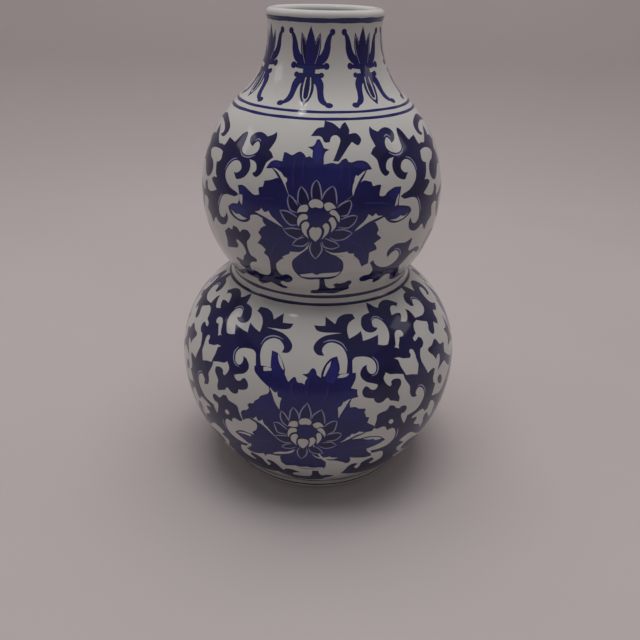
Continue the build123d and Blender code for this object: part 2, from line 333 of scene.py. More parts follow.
UPPER_RIMS = [
    [(-15.4, 192.6), (-17.6, 196), (-19.9, 199.5), (-22.4, 202.4), (-25, 204.3)],
    [(14.9, 192.4), (16.9, 196.6), (18.8, 199.9), (22.2, 204.2)],
    [(-17, 176.8), (-20, 177.9), (-23.2, 179.2), (-27.2, 180.7), (-32.4, 182.4)],
    [(15.4, 175.9), (18.6, 177.1), (21.6, 178.9), (25.2, 180.5), (30.4, 182)],
]
UPPER_TIPS = [
    [[(-4.2, 191.6), (-4.6, 194.4), (-4.5, 197), (-3.6, 199.2)], [(-2.4, 200.4), (-1.2, 199), (-0.4, 196.6),
     (0, 193.8)], [(0, 191.6)]],
    [[(0.3, 191.8), (1.3, 194.4), (3.1, 196.5)], [(5.2, 197.8), (6.4, 196.4), (7, 193.4)], [(7.2, 189.6)]],
    [[(7.4, 188), (9.4, 189.6), (11.3, 190.6)], [(13.6, 191.2), (14.1, 189.2), (13.4, 186.8), (12, 184.4)],
     [(9, 184)]],
    [[(9.2, 182.4), (12.2, 183.6), (15, 184.1)], [(17, 183.6), (15.9, 180.9), (14.4, 179.3), (12.4, 178.2)],
     [(8, 178.6)]],
    [[(6.6, 177.2), (10, 177.5), (12.5, 176.8)], [(14.9, 175.7), (12.8, 173.7), (10.6, 172.5), (7, 172.2)],
     [(4.4, 173.6)]],
    [[(2, 173.2), (5, 172), (7.5, 170.8)], [(9.1, 168.8), (6.3, 167.7), (4, 167.8), (1.7, 168.8)],
     [(0.6, 171.4)]],
    [[(-4.2, 171), (-5, 168), (-4.4, 164.9)], [(-2.3, 161.7), (-0.2, 164.6), (0.8, 167.4)], [(0.1, 170.8)]],
    [[(-7.6, 173.4), (-10.6, 172.3), (-12.2, 170.8)], [(-13.5, 168.8), (-10.6, 168.5), (-7.8, 168.9)],
     [(-5.6, 171)]],
    [[(-9.4, 177.2), (-13.1, 177.5), (-15.6, 177.1)], [(-17.8, 176.7), (-15.6, 174.3), (-13.4, 173.1),
     (-10.6, 172.3)], [(-8.2, 174.4)]],
    [[(-11, 183), (-13.8, 184.7), (-16.3, 185.5)], [(-19.3, 185.5), (-18.1, 183.3), (-16.7, 181.2),
     (-14, 179)], [(-10.8, 179.4)]],
    [[(-10.8, 188.4), (-13.1, 191.6)], [(-15.3, 193), (-15.7, 191), (-15.4, 188.6), (-14, 186)],
     [(-11.2, 185.2)]],
    [[(-10.6, 189.4), (-10.9, 192), (-10.6, 195.2)], [(-9.6, 197.2), (-7.8, 195.6), (-6.6, 193.7)],
     [(-5.8, 191.2)]],
]
UPPER_BEADS = [
    [[(-5.8, 189.8), (-4.7, 191.2), (-2.8, 191.8), (-0.6, 191.3), (0.9, 189.9), (0.5, 188), (-1.2, 187.8),
     (-2.7, 188.2), (-4.2, 187.7), (-5.3, 188.5)]],
    [[(1.2, 189.3), (2.5, 190.3), (4.4, 190.3), (5.9, 189.2)], [(6.9, 187.8), (5, 187.4), (3.1, 186.5),
     (1.9, 187.4)]],
    [[(3.8, 185.6), (4.7, 186.8), (6.3, 186.8), (7.7, 185.4), (8.7, 183.4)], [(8.5, 181), (7.6, 182.2),
     (6.4, 184.1), (5, 184.6)]],
    [[(3.5, 182.1), (4.4, 183.4), (5.6, 183.4), (6.7, 181.8), (7.2, 179.9), (6.2, 177.8)], [(4.7, 176.2),
     (5.1, 178.4), (4.4, 180.8)]],
    [[(0.8, 179.3), (1.9, 180.6), (3.3, 180.3), (4, 178.4), (3.4, 175.9), (1.9, 174)], [(0.5, 172.6),
     (1.5, 175.2), (1.7, 177.4)]],
    [[(-8.9, 179.6), (-7.5, 181), (-5.9, 181), (-5.3, 179.3), (-6.5, 176.8), (-6.2, 174.6)], [(-5.5, 172.9),
     (-7.2, 174.3), (-8.6, 176.5)]],
    [[(-10.8, 182.1), (-9.7, 184), (-8.1, 184.7), (-6.4, 184.3), (-6.2, 182.5), (-8.1, 181.8),
     (-9.4, 180.6)], [(-10.3, 178.4), (-10.9, 180.3)]],
    [[(-11.1, 185.1), (-10.3, 187.4), (-9, 188.7), (-6.6, 189), (-5.9, 187.4), (-6.6, 185.9), (-8.4, 185.7),
     (-10, 185.5)]],
    [[(-5.3, 176.8), (-4.4, 178.2), (-3.1, 178.7)], [(-2.3, 178.3), (-1.1, 178.7), (0.2, 177.8),
     (0.4, 175.9), (-0.5, 173.4)], [(-2.3, 171.4), (-4.2, 173.1), (-5.1, 174.9)]],
]
UPPER_DISC = (-1.4, 183.3, 5.4, 5.4)
UPPER_SPRIG = [
    [(-6.7, 220.4), (-3.3, 224.3)], [(0.6, 225.1), (0.9, 226.8)], [(1.1, 228.4), (6.1, 227.1)],
    [(10, 224.3), (11.8, 226.5)], [(13.9, 227.7), (15.6, 223.8)],
    [(15, 221.6), (19.4, 221.8), (21.7, 218.8), (19.4, 216)], [(16.1, 217.7), (13.3, 214.9), (10.6, 211.6)],
    [(8.3, 208.8)], [(5.5, 209), (7.8, 213.8), (9.8, 218.8), (7.8, 221), (5, 220.4)],
    [(3.9, 217.7), (1.1, 217.7), (-1.1, 220.4)],
]
UPPER_SCROLL = [
    [(28.9, 224.9), (30.3, 223.3)],
    [(33.4, 221.8), (35.6, 222.9), (38.8, 223.6), (41.9, 222.9), (44.1, 220.8), (43.9, 218.6),
     (42.5, 216.7)],
    [(40.2, 215.6), (39.6, 217.3), (38.1, 218.6), (36.6, 217.6), (35.8, 215.8), (35.9, 213.9),
     (37.2, 212.3), (39.4, 211.2), (42, 210.7), (45, 211.4), (46.6, 213.3), (46.6, 215.6), (46.8, 218.9),
     (47.4, 221.4)],
    [(48.6, 222.6), (50.6, 221.4), (52.2, 219.2), (53.4, 217)], [(54.5, 215.6), (57.5, 216.4)],
    [(60.9, 217.2), (61.3, 215.1), (61.8, 213.3)],
    [(62.8, 212.1), (65.5, 212.5), (68.8, 212), (72.5, 214.2), (76, 217)], [(80.2, 219.6), (80.3, 216.6)],
    [(79.2, 213.8), (82.4, 213.6), (85, 212.2)], [(87.4, 209.8), (84.6, 208.8)],
    [(82, 206.6), (84.2, 203.8), (84.8, 201)],
    [(84.2, 197.4), (81.4, 198.6), (78.4, 197.6), (75.6, 195), (72.5, 192.8), (69.4, 192.9), (66.6, 195.1),
     (65.8, 197.9), (66.6, 200.4), (68.8, 202.3)],
    [(71.9, 203), (74, 204.4), (75.3, 206), (73, 208), (69.4, 209.2), (65, 209.6)],
    [(61.3, 208.9), (60.3, 205.4), (61.3, 203.6)], [(63.8, 202.7), (63.1, 200.8), (61.3, 197)],
    [(59.4, 195.1), (61.9, 194.8), (63.1, 194.5)], [(64.5, 193.1), (61.3, 191)],
    [(57.5, 188.9), (60, 187.5), (63.8, 186.3), (66.9, 186.4), (68.4, 187.9), (69.4, 190.1), (70.9, 190.6),
     (72.8, 188.3), (72.2, 185.4)],
    [(73.1, 184.2), (80, 186.8), (88, 188.6)], [(97.7, 189.2)],
    [(97.7, 185.2), (89, 184.6), (81, 182.8), (74, 180.9)], [(69.4, 182), (66.6, 180.8), (66.3, 178.9)],
    [(67.5, 175.1), (65, 173.6), (63.1, 172)], [(61.9, 168.9), (60, 170.4), (58.4, 172.6)],
    [(56.9, 173.3), (55, 171.7), (51.9, 170.9), (48.4, 172), (46.6, 174.2), (46.3, 177)],
    [(47.5, 179), (48.1, 177), (49.7, 175.4), (51.9, 175.4), (53.4, 177), (53.8, 180.1), (52.8, 184.5),
     (51.3, 187.3), (48.8, 188.6), (45, 188.8), (42.5, 188.9)],
    [(40.3, 190.4), (42.5, 191.5), (46.3, 192.6), (49.4, 194.5), (51.9, 197), (52.8, 200.1), (51.9, 203.3),
     (50, 205.8), (47.5, 207), (45, 206.7), (43.1, 205.1), (42.6, 202.9), (44.7, 201)],
    [(46.9, 200.9), (45.6, 199.5), (44.1, 197.9), (41.6, 198.3), (38.8, 200.1), (37.2, 203.3),
     (37.5, 206.4)],
    [(39.1, 209), (35.6, 208.3), (33.8, 206.4), (33.4, 203.9)],
    [(35, 202.6), (34.1, 201.4), (32.2, 200.9), (30.3, 202.6), (29.4, 205.1), (28.8, 208.6), (27.2, 210.4)],
    [(25.8, 211.7), (27.5, 213.9)], [(29.4, 215.1), (28.4, 217.6), (27.6, 220.1), (27.8, 222.9)],
]
UPPER_TENDRIL = [
    [(90.5, 220.6), (86.5, 224.2), (80, 225.8), (72, 224.6), (67, 222.5), (65.4, 219.8), (66.5, 217),
     (69.4, 215.6)],
    [(72.2, 216.2), (70.3, 217.6), (70.9, 219.6), (75, 221.4), (81, 222), (86, 221.4)],
]
UPPER_LOW_RIGHT = [
    [(26.3, 157.6)],
    [(27.8, 159.2), (29.7, 156.4), (32.5, 154.2), (36.3, 152.9), (40, 153.1), (43.1, 154.8), (44.5, 157.6),
     (43.4, 160.8), (40.6, 162.6), (38.1, 161.4)],
    [(36.4, 159.2), (35.3, 162), (36.6, 164.8), (40, 166.4), (43.8, 166.1), (46.9, 165.8)],
    [(51.3, 167.3), (51.6, 164.8), (50.9, 161.4)],
    [(52.5, 158.9), (55.6, 159.6), (58.8, 159.8), (62.5, 158.6)],
    [(65, 155.8), (62.5, 154.8), (60, 156.4), (57.5, 157.3), (54.4, 155.8), (51.9, 152.6)],
    [(49.4, 150.1), (50.6, 148.3), (52.5, 145.1)], [(58, 141), (66, 140.5), (76, 143), (86, 147)],
    [(97.7, 150)],
    [(97.7, 146.2), (86, 142.6), (74, 138.6), (62, 136.8), (54, 137.6), (47.5, 141), (45, 145.4),
     (41.3, 146.4), (39.4, 145.1)],
    [(38.1, 142.6), (34.7, 141.4), (33.1, 142.6)],
    [(32.8, 144.5), (30, 145.1), (26.9, 144.2), (23.8, 145.1), (22.8, 147.6), (25, 149.2), (28.1, 149.5),
     (29.3, 152), (28, 155)],
]
UPPER_LOW_LEFT = [
    [(-56.3, 158.2), (-53, 158.8), (-50, 159.6)], [(-47.2, 160.2), (-45.4, 162.3), (-46.2, 165.2)],
    [(-44.6, 165.6), (-42.2, 164), (-41, 161.5), (-41.2, 158.6)], [(-43.2, 156.8), (-44.8, 154.4)],
    [(-46.2, 152.6), (-48.4, 153.2), (-50.8, 153.4)], [(-52.2, 152.2), (-51.4, 151)],
    [(-50.6, 149.4), (-50.4, 148)], [(-48, 146), (-44, 146)],
    [(-42, 147.6), (-41.6, 150.4), (-40.2, 152.6), (-38.2, 154)], [(-35.2, 154.8), (-34.7, 156.6)],
    [(-36, 157.6), (-38, 158.6), (-38.8, 162), (-38.6, 166)], [(-37.2, 167.6), (-36.4, 168.6)],
    [(-35.4, 170.4), (-37.1, 172.6), (-40.3, 172.3)], [(-42.1, 170.4), (-44, 172.6)],
    [(-46.8, 172.9), (-47.8, 170.6)], [(-50.5, 170.9), (-53, 169)],
    [(-54.6, 167.6), (-54.2, 164), (-55, 161)],
]
UPPER_BAND_LEFT = [
    [(-101.4, 150), (-90, 147.6), (-78, 144.8), (-68, 142.6), (-60.5, 141.4), (-55, 143.4), (-49, 145.6),
     (-43, 147.2), (-38.5, 147.6)],
    [(-36, 146.4), (-31, 146.6), (-28.2, 149), (-27.2, 152.4)], [(-26.8, 156)], [(-23.2, 156)],
    [(-23.4, 152.8), (-22.4, 150)],
    [(-20.6, 149), (-18.6, 150), (-16.4, 149.4), (-15.2, 147.2), (-16.4, 144.8), (-19.4, 143.4)],
    [(-22, 144), (-23.8, 142.6)], [(-22.8, 140), (-20.4, 139.2)],
    [(-20.8, 137.6), (-24, 137.2), (-28, 139.4)], [(-30.6, 141), (-35.6, 138.4)],
    [(-40, 136.2), (-42.2, 137.8), (-41, 140.4)], [(-46, 141), (-52, 141.2)],
    [(-57.7, 137.6), (-66, 137), (-80, 140.4), (-92, 144)], [(-101.4, 146.2)],
]
UPPER_BASE = [
    [(-0.2, 148.4)], [(2.6, 148.4), (3.2, 144.4), (4.4, 141.6), (7, 140.4), (9.4, 141.4)],
    [(7.8, 143.4), (9.4, 144.7)], [(12, 144.4), (14.6, 145.2)], [(16, 146.5), (17.6, 146.4)],
    [(18.8, 145), (18.6, 143.6)], [(17.6, 142), (18.2, 140.6)],
    [(18.4, 139), (15.8, 137.6), (10, 135.4), (3, 135.7), (-2, 135.3)], [(-5.7, 135.5), (-5.6, 137)],
    [(-4.6, 138.5), (-2.4, 138.7), (-0.5, 140), (-0.1, 144)],
]
UPPER_SPRAY = [
    [(97.4, 179), (95, 176), (93.8, 172.5)], [(89.5, 174.5), (84.5, 172.6), (82.6, 168.6)],
    [(86.5, 166.4), (90.8, 166.5)], [(87.6, 163.6), (86, 159.6), (87.2, 155.4)],
    [(91.5, 157), (94.6, 159.5), (96, 162)], [(97.4, 158)], [(98.8, 162), (100.2, 159.5), (103.3, 157)],
    [(107.6, 155.4), (108.8, 159.6), (107.2, 163.6)], [(104, 166.5), (108.3, 166.4)],
    [(112.2, 168.6), (110.3, 172.6), (105.3, 174.5)], [(101, 172.5), (99.8, 176)],
]
UPPER_LINES = [
    [(36.3, 218.9), (38.4, 219.9), (40.6, 218.5)],
    [(36.7, 211.4), (40.5, 209.8), (45, 210.2), (47.6, 212.6)],
    [(53.9, 200.4), (53, 204), (50.6, 206.9), (47.4, 208.2)], [(54.8, 180.2), (53.9, 184.8), (52, 188.2)],
]
UPPER_LOW_LINE = [(39.4, 163.6), (42, 163.2), (44.6, 161), (45.6, 157.6)]
UPPER_SHOOTS = [
    ([(85, 145.4), (75, 149), (69.8, 156), (71, 162.4), (75, 165), (78.6, 163), (78, 159.6)], [3.4, 3.8,
     4.4, 4.2, 3.6, 3, 2.8]),
    ([(76, 183.5), (75.4, 178.4), (77.2, 173.6), (80, 170.6)], [2.4, 4.4, 3.8, 0.5]),
    ([(97.5, 195.4), (92.8, 196.2), (89.9, 199.4), (89.2, 204.4)], [3, 3.6, 3.2, 0.5]),
    ([(97.5, 196.5), (97.5, 192), (97.5, 187)], [3.6, 2.8, 4.8]),
    ([(97.5, 186), (97.5, 177)], [3.6, 2.4]),
]
UPPER_SHOOT_BEAD = (77.9, 159.9, 2.0)
UPPER_BUD = [
    ((95.4, 197), (91.2, 214.5), 6.8), ((99.6, 197), (103.8, 214.5), 6.8),
    ((97.5, 196.5), (97.5, 221), 9.6),
]
UPPER_MIRROR = (-4.0, 0.12, 175.0, 0.073, 97.4)

# Lower bulb: the lotus and its scrolls, which are then lifted a little
LOWER_LIFT = 0.6
LOWER_HEART = (-4.9, 60.7)
LOWER_PETALS = [
    [[(-18.5, 74), (-20.5, 80), (-24, 83.5)], [(-26, 84.5), (-28, 85.8), (-30.5, 87.5), (-33.5, 90)],
     [(-34.3, 92.6), (-31.5, 93.6)], [(-25, 93.8), (-25.5, 97)], [(-26, 102), (-22, 101), (-19, 97.5),
     (-17.2, 94)], [(-17, 91.5), (-15.5, 89)], [(-14.8, 88), (-12.5, 90.5)], [(-11.3, 90.7), (-10, 88.3)],
     [(-8, 88.2)], [(-6.5, 87.4), (-6, 89.5)], [(-5, 90.8), (-6.5, 91.6)], [(-8, 92.4), (-5, 93),
     (-3.5, 95), (-2, 95.6), (-0.7, 94)], [(-0.5, 92.5)], [(1.7, 91), (2.2, 94), (4, 97.5), (7, 100.3)],
     [(10.5, 101.3), (11.3, 98), (11.6, 95)], [(10.8, 92.8)], [(20, 92.7), (19.8, 90), (18.5, 87.5)],
     [(17, 85.2)], [(20.3, 84.3), (20.2, 82)], [(20.8, 80.4), (17, 79.8)], [(15.5, 79.5), (13, 77.5),
     (10.8, 70)], [LOWER_HEART]],
    [[(-24, 83), (-25, 80.5), (-27, 79.4)], [(-29, 78.3), (-30, 76.5)], [(-32, 75), (-32.7, 73.4)],
     [(-35, 72.8)], [(-36.2, 71.5), (-35.4, 69.8)], [(-37, 68), (-39, 67.3)], [(-40.4, 65.5), (-40, 63)],
     [(-39.2, 60.8), (-37.5, 62.4), (-34, 63.4), (-29, 62), (-24, 59), (-19.5, 53.8)], [LOWER_HEART]],
    [[(16, 79.2)], [(16.5, 75.2), (19, 75.2)], [(21, 74), (24.5, 73.3)], [(24, 71.5)], [(24.7, 70),
     (25, 68.6)], [(26.8, 68), (26.3, 66.3)], [(25.8, 65), (27.5, 63.7)], [(29.9, 62), (30, 60.5)],
     [(29.2, 58.8), (24.5, 58.6), (18, 57.4), (12.5, 53.8)], [LOWER_HEART]],
    [[(-19.5, 53.8), (-24, 59.2), (-29, 62), (-31.5, 62.2)], [(-31, 60), (-32, 57)], [(-34.5, 54.8)],
     [(-33.7, 53), (-37, 53.1), (-41, 53.2), (-44.5, 51.6)], [(-46.6, 49.6), (-43.5, 47.5), (-40, 45)],
     [(-37.5, 43.4), (-38, 41.5)], [(-42, 38.8), (-40, 37), (-37, 36.7), (-33, 37.8)], [(-30.5, 39)],
     [(-29.5, 36.6)], [(-28.5, 38.8), (-26, 39.7), (-20.5, 40.2), (-14, 44)], [LOWER_HEART]],
    [[(12.5, 53.8), (17, 55.2)], [(23, 55), (27, 55.4), (31, 54.7), (35, 53.1)], [(38.6, 49.6), (35, 47.8),
     (31, 46.6)], [(28.6, 46), (31, 42)], [(32.6, 38.2), (29, 37.8), (25, 38.7)], [(19, 40.4)],
     [(19.9, 37.5)], [(19.4, 35.4)], [(17.7, 34.7), (15.5, 36.5), (12, 38.3), (4, 42)], [LOWER_HEART]],
    [[(-14, 44), (-20, 40)], [(-20.2, 36.4)], [(-20.6, 35), (-19.5, 33)], [(-17.5, 30.8), (-12, 30.2),
     (-6, 29.2), (0, 29.5)], [(5.2, 30.6), (5.9, 34)], [(5.6, 38), (2, 43)], [LOWER_HEART]],
]
LOWER_FOLDS = [
    [[(-25.6, 101.2), (-23.2, 100.4), (-20.6, 96), (-19.4, 91)], [(-22, 89), (-24.4, 92.4)]],
    [[(10.2, 100.6), (8, 98.6), (5.4, 94), (4.4, 89.5)], [(8, 88), (10.6, 92)]],
    [[(-44.4, 50), (-40, 50.8), (-36, 50.2)], [(-37, 46.6), (-41, 47.6)]],
    [[(37.4, 49.6), (32, 52), (26, 52.4)], [(28, 48.6), (33, 48.4)]],
]
LOWER_VEINS = [
    [(-11, 79), (-13, 83.5), (-12.6, 88)], [(-5, 81), (-5.2, 86), (-3.4, 92)],
    [(2, 78), (4.6, 82), (5.4, 87)], [(-23.5, 69), (-28.5, 71), (-32, 70.6)],
    [(13.5, 66.5), (18.5, 68.5), (22.4, 68)], [(-23, 51.5), (-29, 50), (-35, 48.4)],
    [(14.5, 49.6), (21, 48.4), (28, 48.8)], [(-12, 39), (-14, 36), (-14, 33.6)],
    [(-2, 39), (0, 36), (0.6, 33.4)],
]
LOWER_GAPS = [
    [[(-18.6, 72.9), (-20.1, 74.7), (-21.4, 77.2), (-22.4, 80)], [(-24.2, 84), (-21.4, 81.6)],
     [(-20.2, 82.4), (-19.6, 79.8)], [(-17.7, 79.4), (-18.4, 76.8)]],
    [[(10.7, 69.5), (10.6, 72.8), (10.4, 75)], [(10.6, 75.8), (12, 76.4)], [(13.4, 78.9), (13.8, 77.6)],
     [(16.6, 80), (14.2, 76), (12.1, 72.3)]],
    [[(-35.4, 64.7), (-33, 64.2)], [(-31.3, 65.8), (-30, 63.5)], [(-27.8, 65), (-27, 62.5), (-25, 60.5)],
     [(-19.8, 53.6), (-24.5, 58.5), (-29, 62.2)]],
    [[(12.2, 53.6), (15, 55.8)], [(16, 57.2), (17, 57.3)], [(18, 59), (20, 58.8)], [(22, 59.9),
     (23.4, 59.4)], [(24.9, 59), (20, 57.6), (16, 55.2)]],
    [[(-24.2, 41), (-23.2, 42.4)], [(-19.8, 44.2), (-15.8, 45)], [(-11.1, 48), (-12.6, 45.4), (-15, 43.8),
     (-18.9, 42.4)]],
    [[(-2, 44.9), (0.2, 42.9), (3, 42), (6.1, 42.3)], [(7.4, 42.9), (8.6, 41.9)], [(12.2, 41.4), (10, 40.3),
     (7.7, 40.3), (4.3, 40.8), (1.4, 41.4), (-0.8, 43)]],
    [[(-22.2, 101), (-20, 98.6), (-18.2, 95)], [(-17.8, 93.2), (-19.6, 95), (-21.4, 98)]],
    [[(7.2, 99.2), (4.6, 96.6), (2.9, 91.8)], [(3.7, 91.6), (5.2, 94.4), (6.4, 96.6)]],
    [[(-29, 93.2), (-27, 93.6)], [(-24.6, 93.4), (-24.4, 92.2), (-26.6, 91.7), (-28.6, 91.4)]],
    [[(10.2, 90.8), (11.2, 92), (13, 92.6)], [(16.3, 92.5), (15.4, 91.4), (13, 90.8)]],
    [[(-45, 50.2), (-42.5, 51.6), (-39.4, 52.4)], [(-35.8, 52.2), (-36, 51), (-39.6, 51)]],
    [[(24.4, 54.5), (27.5, 53.2), (31, 52.6)], [(32, 51.4), (35.8, 51.6), (33, 53.4), (29.4, 54.4)]],
    [[(27.8, 46), (28.8, 43.4), (30.6, 41.4)], [(31.4, 41), (30.8, 43.4), (29.2, 45.4)]],
    [[(-37.2, 45), (-39, 43.4), (-41, 41.2)], [(-41.4, 40), (-39, 41.4), (-37.4, 43.2)]],
    [[(-17.8, 31.2), (-14, 31.9)], [(-12, 32.4), (-9, 31.4)], [(-5, 32.2), (-2, 31.2)], [(2.4, 31.9),
     (4.6, 31.5)], [(4, 30.4), (-2, 29.9), (-8, 30), (-14, 30.4)]],
]
LOWER_RIMS = [
    [(-18.1, 72), (-20.4, 74.5), (-21.9, 77.1), (-23, 80), (-24.8, 84.2)],
    [(10.6, 68.6), (12.6, 72.1), (14.8, 75.7), (17.3, 80.2)],
    [(-19.5, 52.9), (-24.6, 57.7), (-29.4, 61.4), (-36, 63.9)],
    [(11.8, 52.9), (16.2, 54.6), (20.2, 56.9), (25.4, 58.5)],
]
LOWER_TIPS = [
    [[(-8.3, 69.2), (-8.2, 72.2), (-7, 75)], [(-4.8, 78.1), (-3.6, 75.6), (-2.8, 72.2)], [(-3.2, 69.2)]],
    [[(-2.5, 69), (-1.9, 71.2), (-0.1, 73)], [(2.3, 74.7), (3.5, 71.8), (4, 68.4)], [(4, 66.6)]],
    [[(4, 64.8), (5.2, 66.2), (7.7, 67.8)], [(10.1, 67.9), (9.9, 65.5), (8.7, 61.6)], [(6, 60.2)]],
    [[(4.8, 59.4), (8.6, 60.4), (11, 60.6)], [(12.8, 59.6), (11.8, 57.4), (9.3, 55.6)], [(5, 55.2)]],
    [[(3, 54), (7.7, 54.4), (9.2, 53.2)], [(10.6, 52), (8.6, 50.6), (4.9, 49.8)], [(1.2, 51.6)]],
    [[(-0.4, 51), (1.4, 49.6), (2.7, 47.8)], [(4, 45.7), (0.2, 45.5), (-2, 46.2), (-3.4, 47.6)],
     [(-3.8, 49.6)]],
    [[(-8.6, 49.8), (-10, 46.5), (-9.5, 42.8)], [(-8.1, 40.3), (-5.8, 43), (-4.7, 46.5)], [(-5, 49.6)]],
    [[(-12.4, 52), (-15.1, 51.5), (-17.3, 49.9)], [(-18.4, 48.3), (-16, 48), (-13.2, 48.4)], [(-10.4, 50)]],
    [[(-13.4, 57.2), (-15.1, 57.2), (-18.9, 56.9)], [(-21.8, 56.1), (-19.5, 53.7), (-16.7, 52.4)],
     [(-13, 53)]],
    [[(-14.6, 61.4), (-17, 63.5), (-19.2, 65)], [(-21.8, 64.8), (-20.8, 61.2), (-19.5, 58.7)],
     [(-14.8, 58.4)]],
    [[(-13.6, 66.8), (-15.8, 70.7)], [(-17.7, 72.4), (-18.2, 69.2), (-17, 65.6)], [(-14.2, 63.4)]],
    [[(-13.8, 67), (-13.4, 70), (-12.9, 73)], [(-11.7, 75.2), (-9.8, 73), (-8.8, 70.4)], [(-8.6, 67.6)]],
]
LOWER_BEADS = [
    [[(-8.9, 67.4), (-7.6, 69), (-5.4, 69.5), (-3.3, 68.8), (-2.5, 67.1), (-3.3, 65.7), (-5.4, 65.9),
     (-8.1, 65.6)]],
    [[(-2, 66), (-0.4, 67.1), (1.4, 67.3), (3, 65.9)], [(3.6, 64.6), (1.8, 64.6), (0.2, 63.7),
     (-1.2, 64.6)]],
    [[(0.3, 62.8), (1.3, 63.8), (2.7, 63.8), (3.9, 62.1), (4.6, 60.2)], [(4.3, 57.9), (3.3, 59.7),
     (2, 61.2)]],
    [[(-0.1, 59), (0.5, 60.6), (1.8, 60.6), (2.7, 58.7), (2.5, 56.5), (1.4, 54.3)], [(0.3, 52.9),
     (0.3, 55.2), (0.3, 57.1)]],
    [[(-3.6, 56.5), (-2.3, 57.6), (-1.1, 57.4), (-0.3, 55.6), (-0.8, 53.7), (-2.3, 51.8)], [(-4, 50.4),
     (-3.6, 52.8), (-3.2, 54.6)]],
    [[(-13.1, 57.1), (-12, 58.7), (-10.1, 59.3), (-9.3, 57.8), (-10.1, 55.6), (-10.4, 53.4)],
     [(-10.1, 51.3), (-11.7, 53.1), (-12.9, 54.9)]],
    [[(-14.5, 59.9), (-13.7, 62.1), (-12.3, 63), (-10.1, 62.7), (-10, 60.9), (-11.7, 60.2), (-13.2, 59)],
     [(-14.2, 56.5), (-14.6, 58.4)]],
    [[(-14.3, 63.9), (-13.4, 66.2), (-11.7, 67.3), (-9.7, 67.1), (-9.3, 64.9), (-10.1, 63.8),
     (-12.6, 63.8)]],
    [[(-9.5, 54.6), (-8.9, 55.9), (-7.3, 56.3), (-5.4, 56.2), (-4, 55.2), (-4.2, 53), (-5.3, 50.9)],
     [(-6.7, 49.3), (-8.1, 50.3), (-9.3, 52.4)]],
]
LOWER_DISC = (-4.9, 61.0, 5.2, 5.2)
